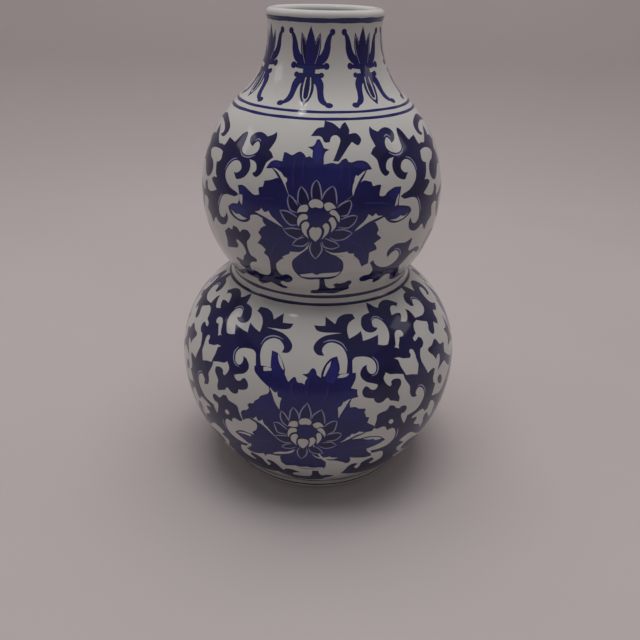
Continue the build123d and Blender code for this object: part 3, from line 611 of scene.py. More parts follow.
LOWER_SCROLL = [
    [(-3, 116.9), (1, 116.7)], [(4.3, 116.7), (4.5, 119)], [(4.7, 121.7), (8, 119.5)],
    [(10.8, 117.5), (13, 120.5), (16, 122), (19.5, 122.6)], [(24, 122.3)],
    [(25, 119.5), (23, 119), (20, 117.5), (18.3, 115), (18, 112)], [(18.5, 109.5), (23, 111)],
    [(26.7, 112.7), (26.8, 110)], [(26.6, 107.6), (32, 108.3)], [(37, 109.3), (36.5, 107.5)],
    [(35.3, 104.5), (39, 103.5)],
    [(41.5, 103.4), (43.5, 106), (44.8, 109), (44.8, 112.3), (43.5, 115.3), (41, 117.3), (38.5, 117.8),
     (36.3, 117), (35.6, 115.2), (36, 113.6)],
    [(38.5, 112.8), (36.5, 111.5), (33, 111), (29.5, 112.3), (28, 114.5), (28.2, 117), (30, 119.8),
     (33, 121)],
    [(36.7, 121.5), (36.8, 124)], [(38, 127.5), (40, 126.5), (42.5, 124.3)],
    [(45.3, 123), (48, 125), (52, 126.1), (56, 126), (60, 124.5)], [(64, 121.7), (62.5, 121.3)],
    [(61.2, 120), (60, 121.2), (57, 121.7), (54.5, 120.5)], [(52.6, 117), (57, 117.2)],
    [(60.5, 116.5), (59.5, 114.5)], [(57, 112.3), (61.5, 111.2), (64, 112.8), (66, 115)],
    [(66.8, 117.3), (69, 115.5), (70, 113)],
    [(70.3, 110.6), (75, 110), (79, 109.7), (83, 110.6), (85.5, 112.5), (86, 115.5), (84, 118),
     (80.5, 119.3), (77.9, 118)],
    [(77, 116.2), (74, 116.8), (72.3, 119), (72, 120.5), (73.5, 122.8), (77, 124.3)],
    [(80.5, 124.5), (81, 127)], [(82.5, 128.6), (85.5, 128), (87.5, 126)],
    [(91, 121.5), (94, 124), (99, 125.8), (104, 125.3), (108, 122.6), (109.8, 118.6), (108.6, 114.8),
     (105.2, 113.2)],
    [(102.4, 114.4), (104.4, 116), (104.8, 118.2), (103, 120), (100, 119.8), (97.6, 117.8), (96.5, 115),
     (97.2, 111.8), (99.8, 109.4)],
    [(104.4, 107.6), (100.8, 106), (97.6, 105.4)], [(94, 107.2), (92.3, 105)], [(92, 102)],
    [(90, 99.8), (88, 101)],
    [(86, 102.8), (84, 101), (82, 98.5), (79.5, 97.8), (77.3, 99.5), (77, 101.7), (78.6, 103.6)],
    [(79.2, 105.4), (74, 107.6)], [(70.4, 109.3), (66.5, 108.5), (64.5, 106)], [(64.3, 103.5), (62, 102.8)],
    [(60.4, 102), (60.8, 100.3), (63, 100.6), (65, 101.3), (67, 100), (67.4, 97.5), (65.5, 95.8)],
    [(63.5, 95.5), (62, 93), (61.7, 89.5), (63, 86.5), (64.5, 83.5)], [(65.5, 81.2), (68, 81.8)],
    [(71, 82), (72.3, 80.8), (71.3, 79), (70, 76.4)], [(70.4, 74)], [(72.5, 72.3), (71.5, 70)],
    [(70, 65.8), (75, 64.5), (79, 63.5), (84, 65.5), (90, 70.5), (97, 76), (104, 79.5)], [(117.9, 81.5)],
    [(117.9, 77.4), (107, 75.4), (100, 70.8), (95, 65), (91, 58.6), (87, 51.6), (82.4, 45.4), (77.4, 41)],
    [(73, 38.3), (68, 40), (64, 42.3), (61, 44.6), (58, 46.4), (55, 46.5), (51.5, 45)],
    [(50, 43.6), (52.5, 42)], [(54.8, 39.8), (53, 38.7)], [(51, 37.5), (51.3, 36), (53, 33.5), (55.5, 31)],
    [(57.5, 28.8), (54, 26.8), (56, 24), (64, 21.2), (76, 19), (95, 17.8)], [(117.9, 17.6)],
    [(117.9, 14.2), (95, 14.2), (76, 14), (56, 14), (42, 14.6), (30, 16.4), (22, 19)],
    [(16.5, 21.5), (18, 25.5), (19.3, 30), (21.5, 33), (24.3, 33.2), (25, 31.5), (24, 29), (25.3, 26.7)],
    [(26.8, 25.8), (27.5, 29), (27.5, 32), (29, 34), (31.5, 35.4), (33.5, 35.8), (35, 34.5), (35.5, 32.5)],
    [(33.6, 30), (34.6, 28.7), (38, 29.5), (41, 31.5), (41.5, 34), (40.8, 36.5), (39.5, 39.3), (37, 40.4)],
    [(32.5, 40.6), (31.3, 42)],
    [(31, 43.6), (35, 43.2), (40, 44), (43, 46), (44.5, 48.5), (44.5, 52), (43.4, 55.2), (41.5, 57)],
    [(38, 56.6), (37, 59), (35, 60)], [(32, 59.4), (30, 60.5), (30.5, 63)],
    [(31, 66), (31.2, 68.5), (34, 69.5), (36.5, 70)],
    [(38, 72.2), (40.5, 71.5), (42, 69.8), (44, 68.8), (46, 69.6), (48.5, 68.8), (49.3, 66.8), (48, 65)],
    [(46, 64.8), (46, 63), (47.5, 59.8)], [(49, 57.3), (49.9, 59.5)],
    [(50.3, 62), (53, 62.3), (57, 63.2), (60, 65.8), (61.7, 68.5), (62, 70.7), (61, 73.7), (59, 75.8),
     (57, 76.3), (55.4, 75), (55.1, 73.3)],
    [(56.2, 71.9), (54, 71.9), (51.8, 73.3), (50.8, 76), (51, 79), (49.5, 81.5), (47.9, 84.3)],
    [(47.3, 86.7), (43, 88), (39, 88.8)], [(36.8, 90.2), (35.2, 88), (35.3, 86.3), (36.5, 84.3)],
    [(38.3, 82.6), (39.4, 83.4), (39.2, 84.8), (40.6, 85.7), (42.6, 85.7), (44.9, 84.8), (45.4, 82.3),
     (44, 80.3), (43, 78.3), (44, 75.3)],
    [(43.6, 72.8), (41, 74)], [(38.2, 75), (37, 76.7), (36, 76.8), (34, 75.4), (31.5, 75.2), (29.5, 76.5)],
    [(29, 78.3), (26.5, 78.8), (24, 79.8), (22.9, 81.5), (23, 83.5), (24.6, 85.2), (26, 84.8), (27.5, 83.3),
     (29.5, 82.8), (31, 83.8)],
    [(31.4, 85), (29, 86.1), (25.5, 87.3), (23, 89.5), (22.3, 92), (24, 94.8)],
    [(26.5, 95.8), (26.2, 94), (27, 92), (28.8, 90.8), (30.8, 91.6), (31.6, 93.8), (31.3, 96.2),
     (29.6, 98.4), (26.5, 99.7), (23, 100.2), (20.2, 100)],
    [(18.7, 98.7), (18.4, 95)], [(18.2, 92.5), (16.6, 92.2)],
    [(15, 92.6), (15.5, 95.5), (16, 99), (15.3, 103), (13, 106.2), (9, 108), (5.5, 107.8), (3.2, 106.3),
     (2.2, 104.2)],
    [(3.4, 101.7), (0, 102), (-2.2, 104), (-2.5, 106.5), (0, 109.5), (4, 111.5), (10, 112.4)],
    [(14.5, 112.6), (9, 113), (3, 113.3), (-1, 114.3)],
]
LOWER_LOBE = [
    [(57, 32.5), (56.3, 35.2), (58, 38), (61, 39.4), (65, 38.8), (70, 37.5), (75, 35.3), (82, 34.6),
     (90, 37.2), (100, 41.6)],
    [(117.9, 45)], [(117.9, 41.4), (104, 37.6), (94, 33), (84, 29.4), (74, 27.2), (66, 28), (60.5, 30)],
]
LOWER_POCKETS = [
    [[(43.2, 95.8), (45.5, 94.5), (46.5, 91), (48, 88)], [(49, 85.8), (53, 85)], [(57, 83.6), (58, 86)],
     [(59, 88.5), (58.3, 91.5), (58.2, 94), (57.5, 96.5), (55.6, 97.5), (54.4, 96.4)], [(55, 95),
     (54, 93.6), (52, 93.8), (49, 94.5), (46, 95.8)]],
    [[(45.2, 101), (46.5, 102), (47.5, 105), (48.5, 107.5), (50.5, 108.7), (53.5, 108.3), (54.6, 106.5)],
     [(54, 105.3), (52.5, 105), (51, 105.2), (50, 103.5), (48.5, 101.5)], [(48, 99.8), (46.5, 100.7)]],
    [[(54, 58.5), (56, 60), (62, 61), (64, 59.7), (65.5, 58)], [(68, 58.5), (69.5, 62.5)], [(72, 62),
     (75.5, 58), (76, 53)], [(74.5, 49), (71, 52.5), (69, 55.2), (67, 55.5), (66, 53), (67, 49.5)],
     [(66, 46), (64, 49.5), (61, 51), (57.5, 53.5)], [(59, 55.5), (58.5, 57.5)]],
    [[(38.2, 62), (39.2, 63.4), (41, 62.6), (41.2, 60.8), (39.6, 60.4)]],
]
LOWER_LEAVES = [
    [[(69.2, 92), (70, 93.3), (74, 93.6), (77, 95)], [(79.2, 95.4), (81, 93.3), (82.5, 91)], [(85, 90.2),
     (88, 89.5)], [(87, 87), (86.6, 84.5)], [(92, 80), (97, 77.5)], [(92, 73.5), (88, 76.5), (85.5, 79.6),
     (83.5, 80.5), (80, 80)], [(74.5, 78.6), (77, 81), (79, 84), (79.3, 86.5), (77.5, 86.8)], [(74.8, 85),
     (73, 88), (71, 90)]],
    [[(74.8, 74.3), (77, 75.5), (79.5, 74), (80.6, 71)], [(79.5, 69), (77, 70), (75.4, 72)]],
    [[(106.5, 80), (103.6, 83.4), (99.5, 84.4)], [(93.4, 84.8), (96.2, 87.2), (97, 89.8)], [(94.6, 94.8),
     (98.2, 93.8), (100.8, 94.8)], [(102.8, 100.2), (104.4, 96), (105.6, 91.5), (106.4, 87)], [(109, 84.2),
     (109.4, 82)]],
]
LOWER_SHOOTS = [
    ([(106, 40), (99.6, 45), (97.4, 51.4), (100, 56.4), (104.4, 56), (105.2, 52.8)], [3.2, 3.8, 4.2, 3.8,
     3.2, 2.8]),
    ([(96, 67), (99.4, 64.6), (104, 64.8)], [3, 4.2, 3.4, 0.4]),
    ([(88.6, 54), (92.4, 52.6), (93.6, 48.4), (91.4, 43.6)], [2.4, 3.8, 3.2, 0.4]),
    ([(90, 15.6), (84.6, 18.4), (82.4, 22), (84.6, 25.4), (88.6, 24.8)], [2.8, 3.2, 3.2, 2.8, 2.2, 1.8]),
    ([(92, 16), (96.4, 20.4), (98.6, 27)], [2.8, 4.2, 3.6, 0.4]),
    ([(117.8, 86), (112.8, 86.4), (109.2, 90), (108.2, 96)], [3.2, 4, 3.4, 0.5]),
    ([(117.8, 88), (117.8, 83), (117.8, 78)], [4, 3, 5.4]),
    ([(117.8, 79), (117.8, 69)], [5.4, 2.8]),
    ([(117.8, 70.6), (113.6, 68.6), (110.4, 64.6), (108.2, 59.4)], [3, 5.2, 5, 0.5]),
    ([(117.8, 71), (117.8, 66), (117.8, 59), (117.8, 50)], [3, 5, 7, 8, 7.2, 5.4, 3, 0.4]),
    ([(117.8, 16), (117.8, 22), (117.8, 28), (117.8, 36)], [4, 5.6, 6.6, 6.2, 4.4, 2.4, 0.4]),
    ([(116, 16.4), (110.5, 20), (106.6, 25.4), (105.2, 31)], [3, 4.4, 5, 4, 2.4, 0.4]),
]
LOWER_SHOOT_BEAD = (105.1, 53, 2.0)
LOWER_BUD = [
    ((115.4, 87.5), (110.6, 108), 7.6), ((120.2, 87.5), (125, 108), 7.6), ((117.8, 87), (117.8, 118), 11),
]
LOWER_SPRIG = [
    [(-2, 27.4)], [(1.7, 27.4), (2.5, 23), (4.6, 20)], [(8, 20.8), (12.4, 18.8)], [(10.4, 16.4), (6.6, 14)],
    [(5.2, 11), (0, 9.6), (-8, 9.4), (-16, 10)], [(-18, 13), (-24, 16.4)],
    [(-26, 19.6), (-22.4, 20.6), (-20.6, 24), (-18.6, 26.6), (-15, 26.8), (-11.6, 25.2)],
    [(-10, 23.8), (-13, 22.6), (-15.4, 20.6)],
    [(-14.6, 18.2), (-10, 17.4), (-5, 18), (-2.6, 20.6), (-2.2, 24)],
]
LOWER_LINES = [
    [(2.8, 108.2), (6, 109.1), (10, 109), (14, 107.2), (16.4, 103.6)],
    [(28.6, 89.8), (31.4, 90.8), (32.8, 93.8), (32.4, 96.8), (30.4, 99.3)],
    [(35.6, 117.4), (38.5, 118.8), (41.6, 118.2), (44.4, 116)],
    [(56.6, 77.3), (59.6, 76.8), (62, 74.2), (63, 70.6)], [(45.4, 55.2), (46, 52), (45.8, 48.4)],
    [(78, 119), (80.6, 120.4), (84.6, 119), (87.2, 115.6)],
]
LOWER_MIRROR = (-8.0, -0.17, 50.0, 0.0, 117.7)

# Neck: a row of upright palmettes, a plain leaf ornament, from the motif's middle and foot
NECK_REFERENCE = 33.0
NECK_MOTIFS = 7
NECK_FIRST = -12.9
NECK_FOOT = 235.0
PALMETTE_HORN = [
    [(1.4, 20.6), (5.6, 21.2), (9, 23.8), (10.6, 28), (10.9, 32.4)],
    [(12.4, 37), (9.4, 34.8), (7.7, 31.4), (6.7, 28.2), (4.9, 25.6)], [(1.4, 24.6)],
]
PALMETTE_SEPAL = ((1.7, 22), (5.2, 35.8), 4.4)
PALMETTE_BUD = ((0, 20), (0, 38.6), 6)
PALMETTE_BARS = [
    ([(-8.2, 20.8), (0, 20.2), (8.2, 20.8)], 2.3),
    ([(-5.8, 16.6), (0, 16.4), (5.8, 16.6)], 1.9),
]
PALMETTE_KNOT = (0, 18.4, 3.2, 2.6)
PALMETTE_BEADS = [(8.6, 20.8, 1.6), (6.2, 16.6, 1.3), (11.6, 36, 1.5), (9.6, 1.5, 1.5)]
PALMETTE_FOOT = [
    [(1.2, 16.8), (5.4, 15.8), (7.3, 12.6), (7.4, 8), (8.1, 4.4)],
    [(10.4, 0.6), (7.4, 1.6), (5.4, 4.2), (4.6, 8.8), (3.6, 12)], [(1.2, 13.6)],
]
PALMETTE_DROP = ((0, 16), (0, 0.8), 6.2)
SEPAL_CORE = 1.0
DROP_GAP, DROP_CORE = 1.3, 1.9
BAR_ENDS = 0.8

# Rings: length along the profile, width and tone, and how the brush wavers
RINGS = [
    (0.55, 1.1, "navy"), (3.5, 2.8, "navy"), (129.1, 1.6, "navy"), (133.2, 1.7, "navy"),
    (229.1, 1.5, "royal"), (232.8, 1.5, "royal"), (276.0, 2.3, "royal"),
]
RING_WANDER, WANDER_WAVES = 0.16, 3
RING_SWELL, SWELL_WAVES, SWELL_SEED = 0.25, 5, 9


def edged(points):
    """An outline filled with royal blue inside a thin dark edge."""
    return [("navy", points), ("royal", grown(points, -EDGE))]


def lotus(petals, folds, veins, gaps, rims, tips, beads, disc):
    """A lotus: washed petals with dark edges and folds, white gaps, pointed petals and a ring of beads."""
    shapes = []
    for runs in petals:
        shapes += edged(outline(runs))
    shapes += [("bright", outline(runs)) for runs in folds]
    for points in veins:
        shapes.append(("navy", stroke([(x + VEIN, along) for x, along in points], FINE)))
        shapes.append(("bright", stroke(points, VEIN)))
    shapes += [("white", outline(runs)) for runs in gaps]
    shapes += [("royal", stroke(points, VEIN)) for points in rims]
    shapes.append(("navy", oval(disc[:2], disc[2] + BACKING, disc[3] + BACKING)))
    for rising, falling, root in tips:
        shapes.append(("navy", outline([rising, falling, root])))
        shapes.append(("pale", stroke(rising + falling[:1], FINE)))
        shapes.append(("pale", stroke(falling + root, FINE)))
    shapes.append(("royal", oval(disc[:2], disc[2], disc[3])))
    shapes += [("navy", grown(outline(runs), EDGE)) for runs in beads]
    shapes += [("white", outline(runs)) for runs in beads]
    return shapes


def mirrored(shapes, across, lean=0.0, level=0.0, squash=0.0, edge=1.0):
    """The shapes the other way round about a line that may lean; the lean dies away towards the edge."""
    flipped = []
    for tone, points in shapes:
        share = np.clip((edge - points[:, 0]) / FADE, 0, 1)
        above = points[:, 1] - level
        x = across + share * lean * above - points[:, 0]
        flipped.append((tone, np.stack([x, points[:, 1] - share * squash * np.maximum(above, 0)], 1)))
    return flipped


def shoots(strokes, bead):
    """Curling shoots between two flowers, with a bead at the end of the first."""
    shapes = [("navy", brush(points, widths)) for points, widths in strokes]
    return shapes + [("navy", oval(bead[:2], bead[2], bead[2]))]


def bud(petals):
    """A closed flower of pointed petals, each with a pale line inside its edge."""
    shapes = []
    for root, tip, width in petals:
        shapes += edged(leaf(root, tip, width))
        shapes.append(("pale", leaf(root, tip, width, BUD_INSET)))
        shapes.append(("royal", leaf(root, tip, width, BUD_INSET + VEIN / 2)))
    return shapes


def upper_painting():
    """One repeat of the upper bulb's painting."""
    scroll = [("navy", outline(UPPER_SCROLL)), ("navy", outline(UPPER_TENDRIL))]
    scroll += shoots(UPPER_SHOOTS, UPPER_SHOOT_BEAD)
    scroll += [("pale", stroke(points, FINE)) for points in UPPER_LINES]
    low = [UPPER_LOW_RIGHT, UPPER_LOW_LEFT, UPPER_BAND_LEFT, UPPER_BASE, UPPER_SPRAY]
    shapes = scroll + mirrored(scroll, *UPPER_MIRROR)
    shapes += [("navy", outline(runs)) for runs in low]
    shapes.append(("pale", stroke(UPPER_LOW_LINE, FINE)))
    shapes += bud(UPPER_BUD)
    shapes += lotus(UPPER_PETALS, UPPER_FOLDS, UPPER_VEINS, UPPER_GAPS,
                    UPPER_RIMS, UPPER_TIPS, UPPER_BEADS, UPPER_DISC)
    shapes.append(("navy", outline(UPPER_SPRIG)))
    return shapes


def lower_painting():
    """One repeat of the lower bulb's painting."""
    scroll = [("navy", outline(LOWER_SCROLL)), ("navy", outline(LOWER_LOBE))]
    scroll += [("white", outline(runs)) for runs in LOWER_POCKETS]
    scroll += [("navy", outline(runs)) for runs in LOWER_LEAVES]
    scroll += shoots(LOWER_SHOOTS, LOWER_SHOOT_BEAD)
    scroll += [("pale", stroke(points, FINE)) for points in LOWER_LINES]
    shapes = scroll + mirrored(scroll, *LOWER_MIRROR) + bud(LOWER_BUD)
    shapes.append(("navy", outline(LOWER_SPRIG)))
    shapes += lotus(LOWER_PETALS, LOWER_FOLDS, LOWER_VEINS, LOWER_GAPS,
                    LOWER_RIMS, LOWER_TIPS, LOWER_BEADS, LOWER_DISC)
    return shapes


def palmette():
    """One motif of the neck."""
    half = edged(outline(PALMETTE_HORN)) + edged(outline(PALMETTE_FOOT))
    half.append(("navy", leaf(*PALMETTE_SEPAL)))
    half.append(("pale", leaf(*PALMETTE_SEPAL, FINE)))
    half.append(("navy", leaf(*PALMETTE_SEPAL, SEPAL_CORE)))
    for x, along, size in PALMETTE_BEADS:
        half += edged(oval((x, along), size, size))
    shapes = half + mirrored(half, 0.0)
    shapes += edged(leaf(*PALMETTE_DROP))
    shapes += [("white", leaf(*PALMETTE_DROP, DROP_GAP)), ("navy", leaf(*PALMETTE_DROP, DROP_CORE))]
    shapes += edged(leaf(*PALMETTE_BUD))
    shapes += edged(oval(PALMETTE_KNOT[:2], *PALMETTE_KNOT[2:]))
    for points, width in PALMETTE_BARS:
        shapes += edged(stroke(points, width, BAR_ENDS))
    return [(tone, points + (0, NECK_FOOT)) for tone, points in shapes]


def uneven(angles, waves, seed):
    """Smooth noise round the vase, one value for each angle."""
    return np.array([noise.noise((waves * math.cos(a), waves * math.sin(a), seed)) for a in angles])


def ring_edges(along, width, count, seed):
    """Both edges of a painted ring, a little uneven as a brush leaves it."""
    angles = np.linspace(-np.pi, np.pi, count, endpoint=False)
    middle = along + RING_WANDER * uneven(angles, WANDER_WAVES, seed)
    half = width / 2 * (1 + RING_SWELL * uneven(angles, SWELL_WAVES, seed + SWELL_SEED))
    return angles, middle - half, middle + half


def whole_painting():
    """All painted shapes with their tone, as places in the flat ring."""
    laid = []
    for repeat in range(LOTUS_REPEATS):
        turn = repeat * 2 * math.pi / LOTUS_REPEATS
        bulbs = ((LOWER_RADIUS, LOWER_LIFT, lower_painting()), (UPPER_RADIUS, 0.0, upper_painting()))
        for reference, lift, shapes in bulbs:
            for tone, points in shapes:
                laid.append((tone, flat(points[:, 0] / reference + turn, points[:, 1] + lift)))
    motif = palmette()
    for place in range(NECK_MOTIFS):
        turn = math.radians(NECK_FIRST) + place * 2 * math.pi / NECK_MOTIFS
        for tone, points in motif:
            laid.append((tone, flat(points[:, 0] / NECK_REFERENCE + turn, points[:, 1])))
    return laid


# Mesh of the painted glaze: points round it, and how close its rows and points lie
TONES = ["white", "navy", "royal", "pale", "bright"]
ROUND = 180
WAIST_SEARCH, WAIST_SHARP, LIP_SHARP = 2, 7, 14
CLOSE_ROW, PLAIN_ROW = 0.75, 2.6
CLEARANCE = 0.016
MEETING = 1e-6
SAME_PLACE = 0.000005
AT_WAIST = np.abs(POINTS[:, 1] - WAIST) < WAIST_SEARCH
WAIST_ALONG = float(ALONG[AT_WAIST][np.argmin(POINTS[AT_WAIST, 0])])


def rows():
    """Lengths along the profile for the plain points, closer where the profile turns sharply."""
    found = [0.0]
    while found[-1] < TOP:
        here = found[-1]
        sharp = abs(here - WAIST_ALONG) < WAIST_SHARP or here > TOP - LIP_SHARP
        found.append(here + (CLOSE_ROW if sharp else PLAIN_ROW))
    return np.array(found[:-1])


def tree_of(points):
    """A search tree over points, numbered in their order."""
    tree = KDTree(len(points))
    for number, point in enumerate(points):
        tree.insert(point, number)
    tree.balance()
    return tree


def away_from(grid, taken):
    """The grid's places that aren't right beside places already taken."""
    tree = tree_of([(x, y, 0) for x, y in taken])
    return [(x, y) for x, y in grid if tree.find((x, y, 0))[2] > CLEARANCE * math.hypot(x, y)]


def nearest(spots, wanted):
    """Numbers of the spots at wanted places."""
    tree = tree_of([(x, y, 0) for x, y in spots])
    return [tree.find((x, y, 0))[1] for x, y in wanted]


def inside(spots, loop):
    """Which spots lie inside a closed loop."""
    found = np.zeros(len(spots), bool)
    low, high = loop.min(0), loop.max(0)
    near = np.nonzero(((spots >= low) & (spots <= high)).all(1))[0]
    x, y = spots[near].T
    crossed = np.zeros(len(near), bool)
    for (x0, y0), (x1, y1) in zip(loop, np.roll(loop, -1, 0)):
        if y0 == y1:
            continue
        crossed ^= ((y0 > y) != (y1 > y)) & (x < x0 + (y - y0) / (y1 - y0) * (x1 - x0))
    found[near] = crossed
    return found


def joined(spots, faces, tones):
    """The mesh with places too close for a file to tell apart made one, and the faces that vanish dropped."""
    points = on_vase(*unflat(spots))
    tree = tree_of(points)
    keeps = np.arange(len(points))
    for number, point in enumerate(points):
        keeps[number] = keeps[min(other for _, other, _ in tree.find_range(point, SAME_PLACE))]
    faces = keeps[faces]
    whole = (faces != np.roll(faces, 1, 1)).all(1)
    used, numbers = np.unique(faces[whole], return_inverse=True)
    return spots[used], numbers.reshape(-1, 3), tones[whole]


def paint_mesh():
    """Triangles of the painted outside: flat places, triangles and the tone of each."""
    laid = whole_painting()
    places, edges = [], []

    def add_loop(points, closed=True):
        start = len(places)
        places.extend(points)
        count = len(points)
        edges.extend((start + i, start + i + 1) for i in range(count - 1))
        if closed:
            edges.append((start + count - 1, start))

    circle = np.linspace(-np.pi, np.pi, ROUND, endpoint=False)
    add_loop(flat(circle, np.zeros(ROUND)))
    add_loop(flat(circle, np.full(ROUND, TOP)))
    for _, points in laid:
        add_loop(points)
    bands = []
    for seed, (along, width, tone) in enumerate(RINGS):
        angles, low, high = ring_edges(along, width, ROUND * 2, seed)
        bands.append((tone, flat(angles, low), flat(angles, high)))
        add_loop(bands[-1][1])
        add_loop(bands[-1][2])
    drawn = np.array(places)
    plain = rows()
    add_loop(flat(np.full(len(plain), np.pi), np.append(plain[:-1], TOP)), closed=False)
    grid = []
    for number, along in enumerate(plain[1:]):
        angles = circle + (np.pi / ROUND if number % 2 else 0)
        grid.append(flat(angles, np.full(ROUND, along)))
    places.extend(away_from(np.concatenate(grid), drawn))
    found = delaunay_2d_cdt([Vector(place) for place in places], edges, [], 0, MEETING, False)
    spots = np.array([tuple(spot) for spot in found[0]])
    faces = np.array(found[2])
    middles = spots[faces].mean(1)
    out = np.hypot(middles[:, 0], middles[:, 1]) > math.cos(math.pi / ROUND)
    faces, middles = faces[out][:, ::-1], middles[out]
    tones = np.zeros(len(faces), int)
    for tone, points in laid:
        tones[inside(middles, points)] = TONES.index(tone)
    for tone, low, high in bands:
        tones[inside(middles, high) & ~inside(middles, low)] = TONES.index(tone)
    return joined(spots, faces, tones)


# Layout of the glaze for baking: the outside's share of the height, and the strip for the hidden side
OUTSIDE_SHARE = 0.84
HIDDEN_FROM, HIDDEN_SHARE = 0.86, 0.14
SEAM_NEAR = 1e-4


def unwrap(mesh, outer_faces, angle, along):
    """Lays the faces out by angle and length, the outside below and the hidden side in a strip above."""
    layer = mesh.uv_layers.new(name="OFBake")
    places = np.zeros((len(mesh.loops), 2), np.float32)
    for polygon in mesh.polygons:
        loops = list(polygon.loop_indices)
        verts = [mesh.loops[i].vertex_index for i in loops]
        turns = np.array([angle[v] for v in verts])
        if turns.max() - turns.min() > math.pi:
            turns = np.where(turns < 0, turns + 2 * math.pi, turns)
        if abs(turns.mean()) > math.pi:
            turns -= 2 * math.pi
        seam = np.abs(np.abs(turns) - math.pi) < SEAM_NEAR
        if not seam.all():
            turns = np.where(seam, math.copysign(math.pi, turns[~seam].mean()), turns)
        level = np.array([along[v] for v in verts]) / TOP
        outer = polygon.index < outer_faces
        places[loops, 0] = np.clip((turns + math.pi) / (2 * math.pi), 0, 1)
        places[loops, 1] = level * OUTSIDE_SHARE if outer else HIDDEN_FROM + level * HIDDEN_SHARE
    layer.data.foreach_set("uv", places.ravel())


def hidden_side(plain, circle):
    """Points and normals of the glaze's side against the clay, row by row, with the hem drawn down."""
    points, normals = [], []
    for number, here in enumerate(plain):
        side = [np.interp(here, ALONG, NORMALS[:, axis]) for axis in (0, 1)]
        at = [np.interp(here, ALONG, POINTS[:, axis]) - GLAZE * side[axis] for axis in (0, 1)]
        drop = GLAZE if number == 0 else 0.0
        points.append(turned(circle, np.full(ROUND, at[0]), np.full(ROUND, at[1] - drop)))
        normals.append(turned(circle, np.full(ROUND, -side[0]), np.full(ROUND, -side[1])))
    return np.concatenate(points), np.concatenate(normals)


def added(name, data):
    """A new object in the scene."""
    thing = bpy.data.objects.new(name, data)
    bpy.context.scene.collection.objects.link(thing)
    return thing


def painted_glaze(materials):
    """The glaze outside as a closed mesh, with every brush stroke cut into its faces."""
    spots, faces, tones = paint_mesh()
    angle, along = unflat(spots)
    front = on_vase(angle, along)
    lean = np.interp(along, ALONG, NORMALS[:, 0])
    rise = np.interp(along, ALONG, NORMALS[:, 1])
    circle = np.linspace(-np.pi, np.pi, ROUND, endpoint=False)
    plain = np.append(rows()[::2][:-1], TOP)
    back, back_normals = hidden_side(plain, circle)
    first, count = len(front), len(plain)
    last = first + (count - 1) * ROUND
    hem = nearest(spots, flat(circle, np.zeros(ROUND)))
    brim = nearest(spots, flat(circle, np.full(ROUND, TOP)))
    following = [(i, (i + 1) % ROUND) for i in range(ROUND)]
    polygons = faces.tolist()
    for low in range(first, last, ROUND):
        high = low + ROUND
        polygons += [[low + i, high + i, high + j, low + j] for i, j in following]
    polygons += [[hem[i], first + i, first + j, hem[j]] for i, j in following]
    polygons += [[brim[j], last + j, last + i, brim[i]] for i, j in following]
    mesh = bpy.data.meshes.new("painted_glaze")
    mesh.from_pydata(np.concatenate([front, back]).tolist(), [], polygons)
    for material in materials:
        mesh.materials.append(material)
    indices = np.zeros(len(polygons), np.int32)
    indices[:len(tones)] = tones
    mesh.polygons.foreach_set("material_index", indices)
    mesh.polygons.foreach_set("use_smooth", np.ones(len(polygons), bool))
    unwrap(mesh, len(faces), np.concatenate([angle, np.tile(circle, count)]),
           np.concatenate([along, np.repeat(plain, ROUND)]))
    mesh.update()
    normals = np.concatenate([turned(angle, lean, rise), back_normals])
    normals /= np.linalg.norm(normals, axis=1)[:, None]
    mesh.normals_split_custom_set_from_vertices(normals.tolist())
    return added("painted_glaze", mesh)


# Surfaces: noise has waves to the metre and a detail, and stops are places and colours on a ramp
WHITE = (1, 1, 1)
DARK_STOP, LIGHT_STOP = 0.3, 0.7
NEW_STOP = 0.5
EVEN = (1, 1, 1)
WASH_DETAIL = 4
STREAK_WAVES, STREAK_DETAIL, STREAK_STRETCH = 160, 3, (0.35, 0.35, 1)
STREAK_STOPS = [(0.25, (0.86, 0.86, 0.88)), (0.75, WHITE)]
DOT_WAVES, DOT_DETAIL, DOT_SHARE = 900, 2, 0.6
DOT_STOPS = [(0.3, (0.8, 0.8, 0.84)), (0.42, WHITE)]
GLAZE_ROUGHNESS, GLAZE_IOR = 0.1, 1.5
RIPPLE_WAVES, RIPPLE_DETAIL, RIPPLE_STRENGTH, RIPPLE_HEIGHT = 240, 2, 0.05, 0.0004
CLAY_WAVES, CLAY_DETAIL, CLAY_ROUGHNESS = 90, 5, 0.85
IRON_WAVES, IRON_DETAIL, IRON_SHARE = 1500, 2, 0.8
IRON_STOPS = [(0.27, (0.55, 0.4, 0.28)), (0.33, WHITE)]
GRAIN_DETAIL, GRAIN_STRENGTH, GRAIN_HEIGHT = 4, 0.35, 0.0005
PAPER_WAVES, PAPER_DETAIL, PAPER_ROUGHNESS = 3, 5, 0.7
PAPER_DARK, PAPER_LIGHT = (0.49, 0.445, 0.442), (0.52, 0.474, 0.47)

# Glazes: dark and light colour, waves of the wash, and how strongly the brush shows
GLAZES = {
    "white_glaze": ((0.6, 0.595, 0.58), (0.64, 0.63, 0.61), 30, 0.12),
    "navy_cobalt": ((0.009, 0.0075, 0.052), (0.019, 0.016, 0.105), 55, 0.6),
    "royal_cobalt": ((0.0085, 0.009, 0.093), (0.0175, 0.019, 0.165), 45, 0.5),
    "pale_cobalt": ((0.27, 0.28, 0.5), (0.38, 0.39, 0.58), 60, 0.3),
    "bright_cobalt": ((0.0135, 0.0138, 0.135), (0.027, 0.0275, 0.225), 70, 0.4),
    # The lining glaze is a little darker and bluer than the white outside: painted shade for the dim inside
    # of the mouth, over the glaze's own white
    "shaded_lining_glaze": ((0.56, 0.565, 0.57), (0.61, 0.61, 0.6), 25, 0.1),
}

# Glazes of the painting, in the order of its tones
PAINTED = ["white_glaze", "navy_cobalt", "royal_cobalt", "pale_cobalt", "bright_cobalt"]

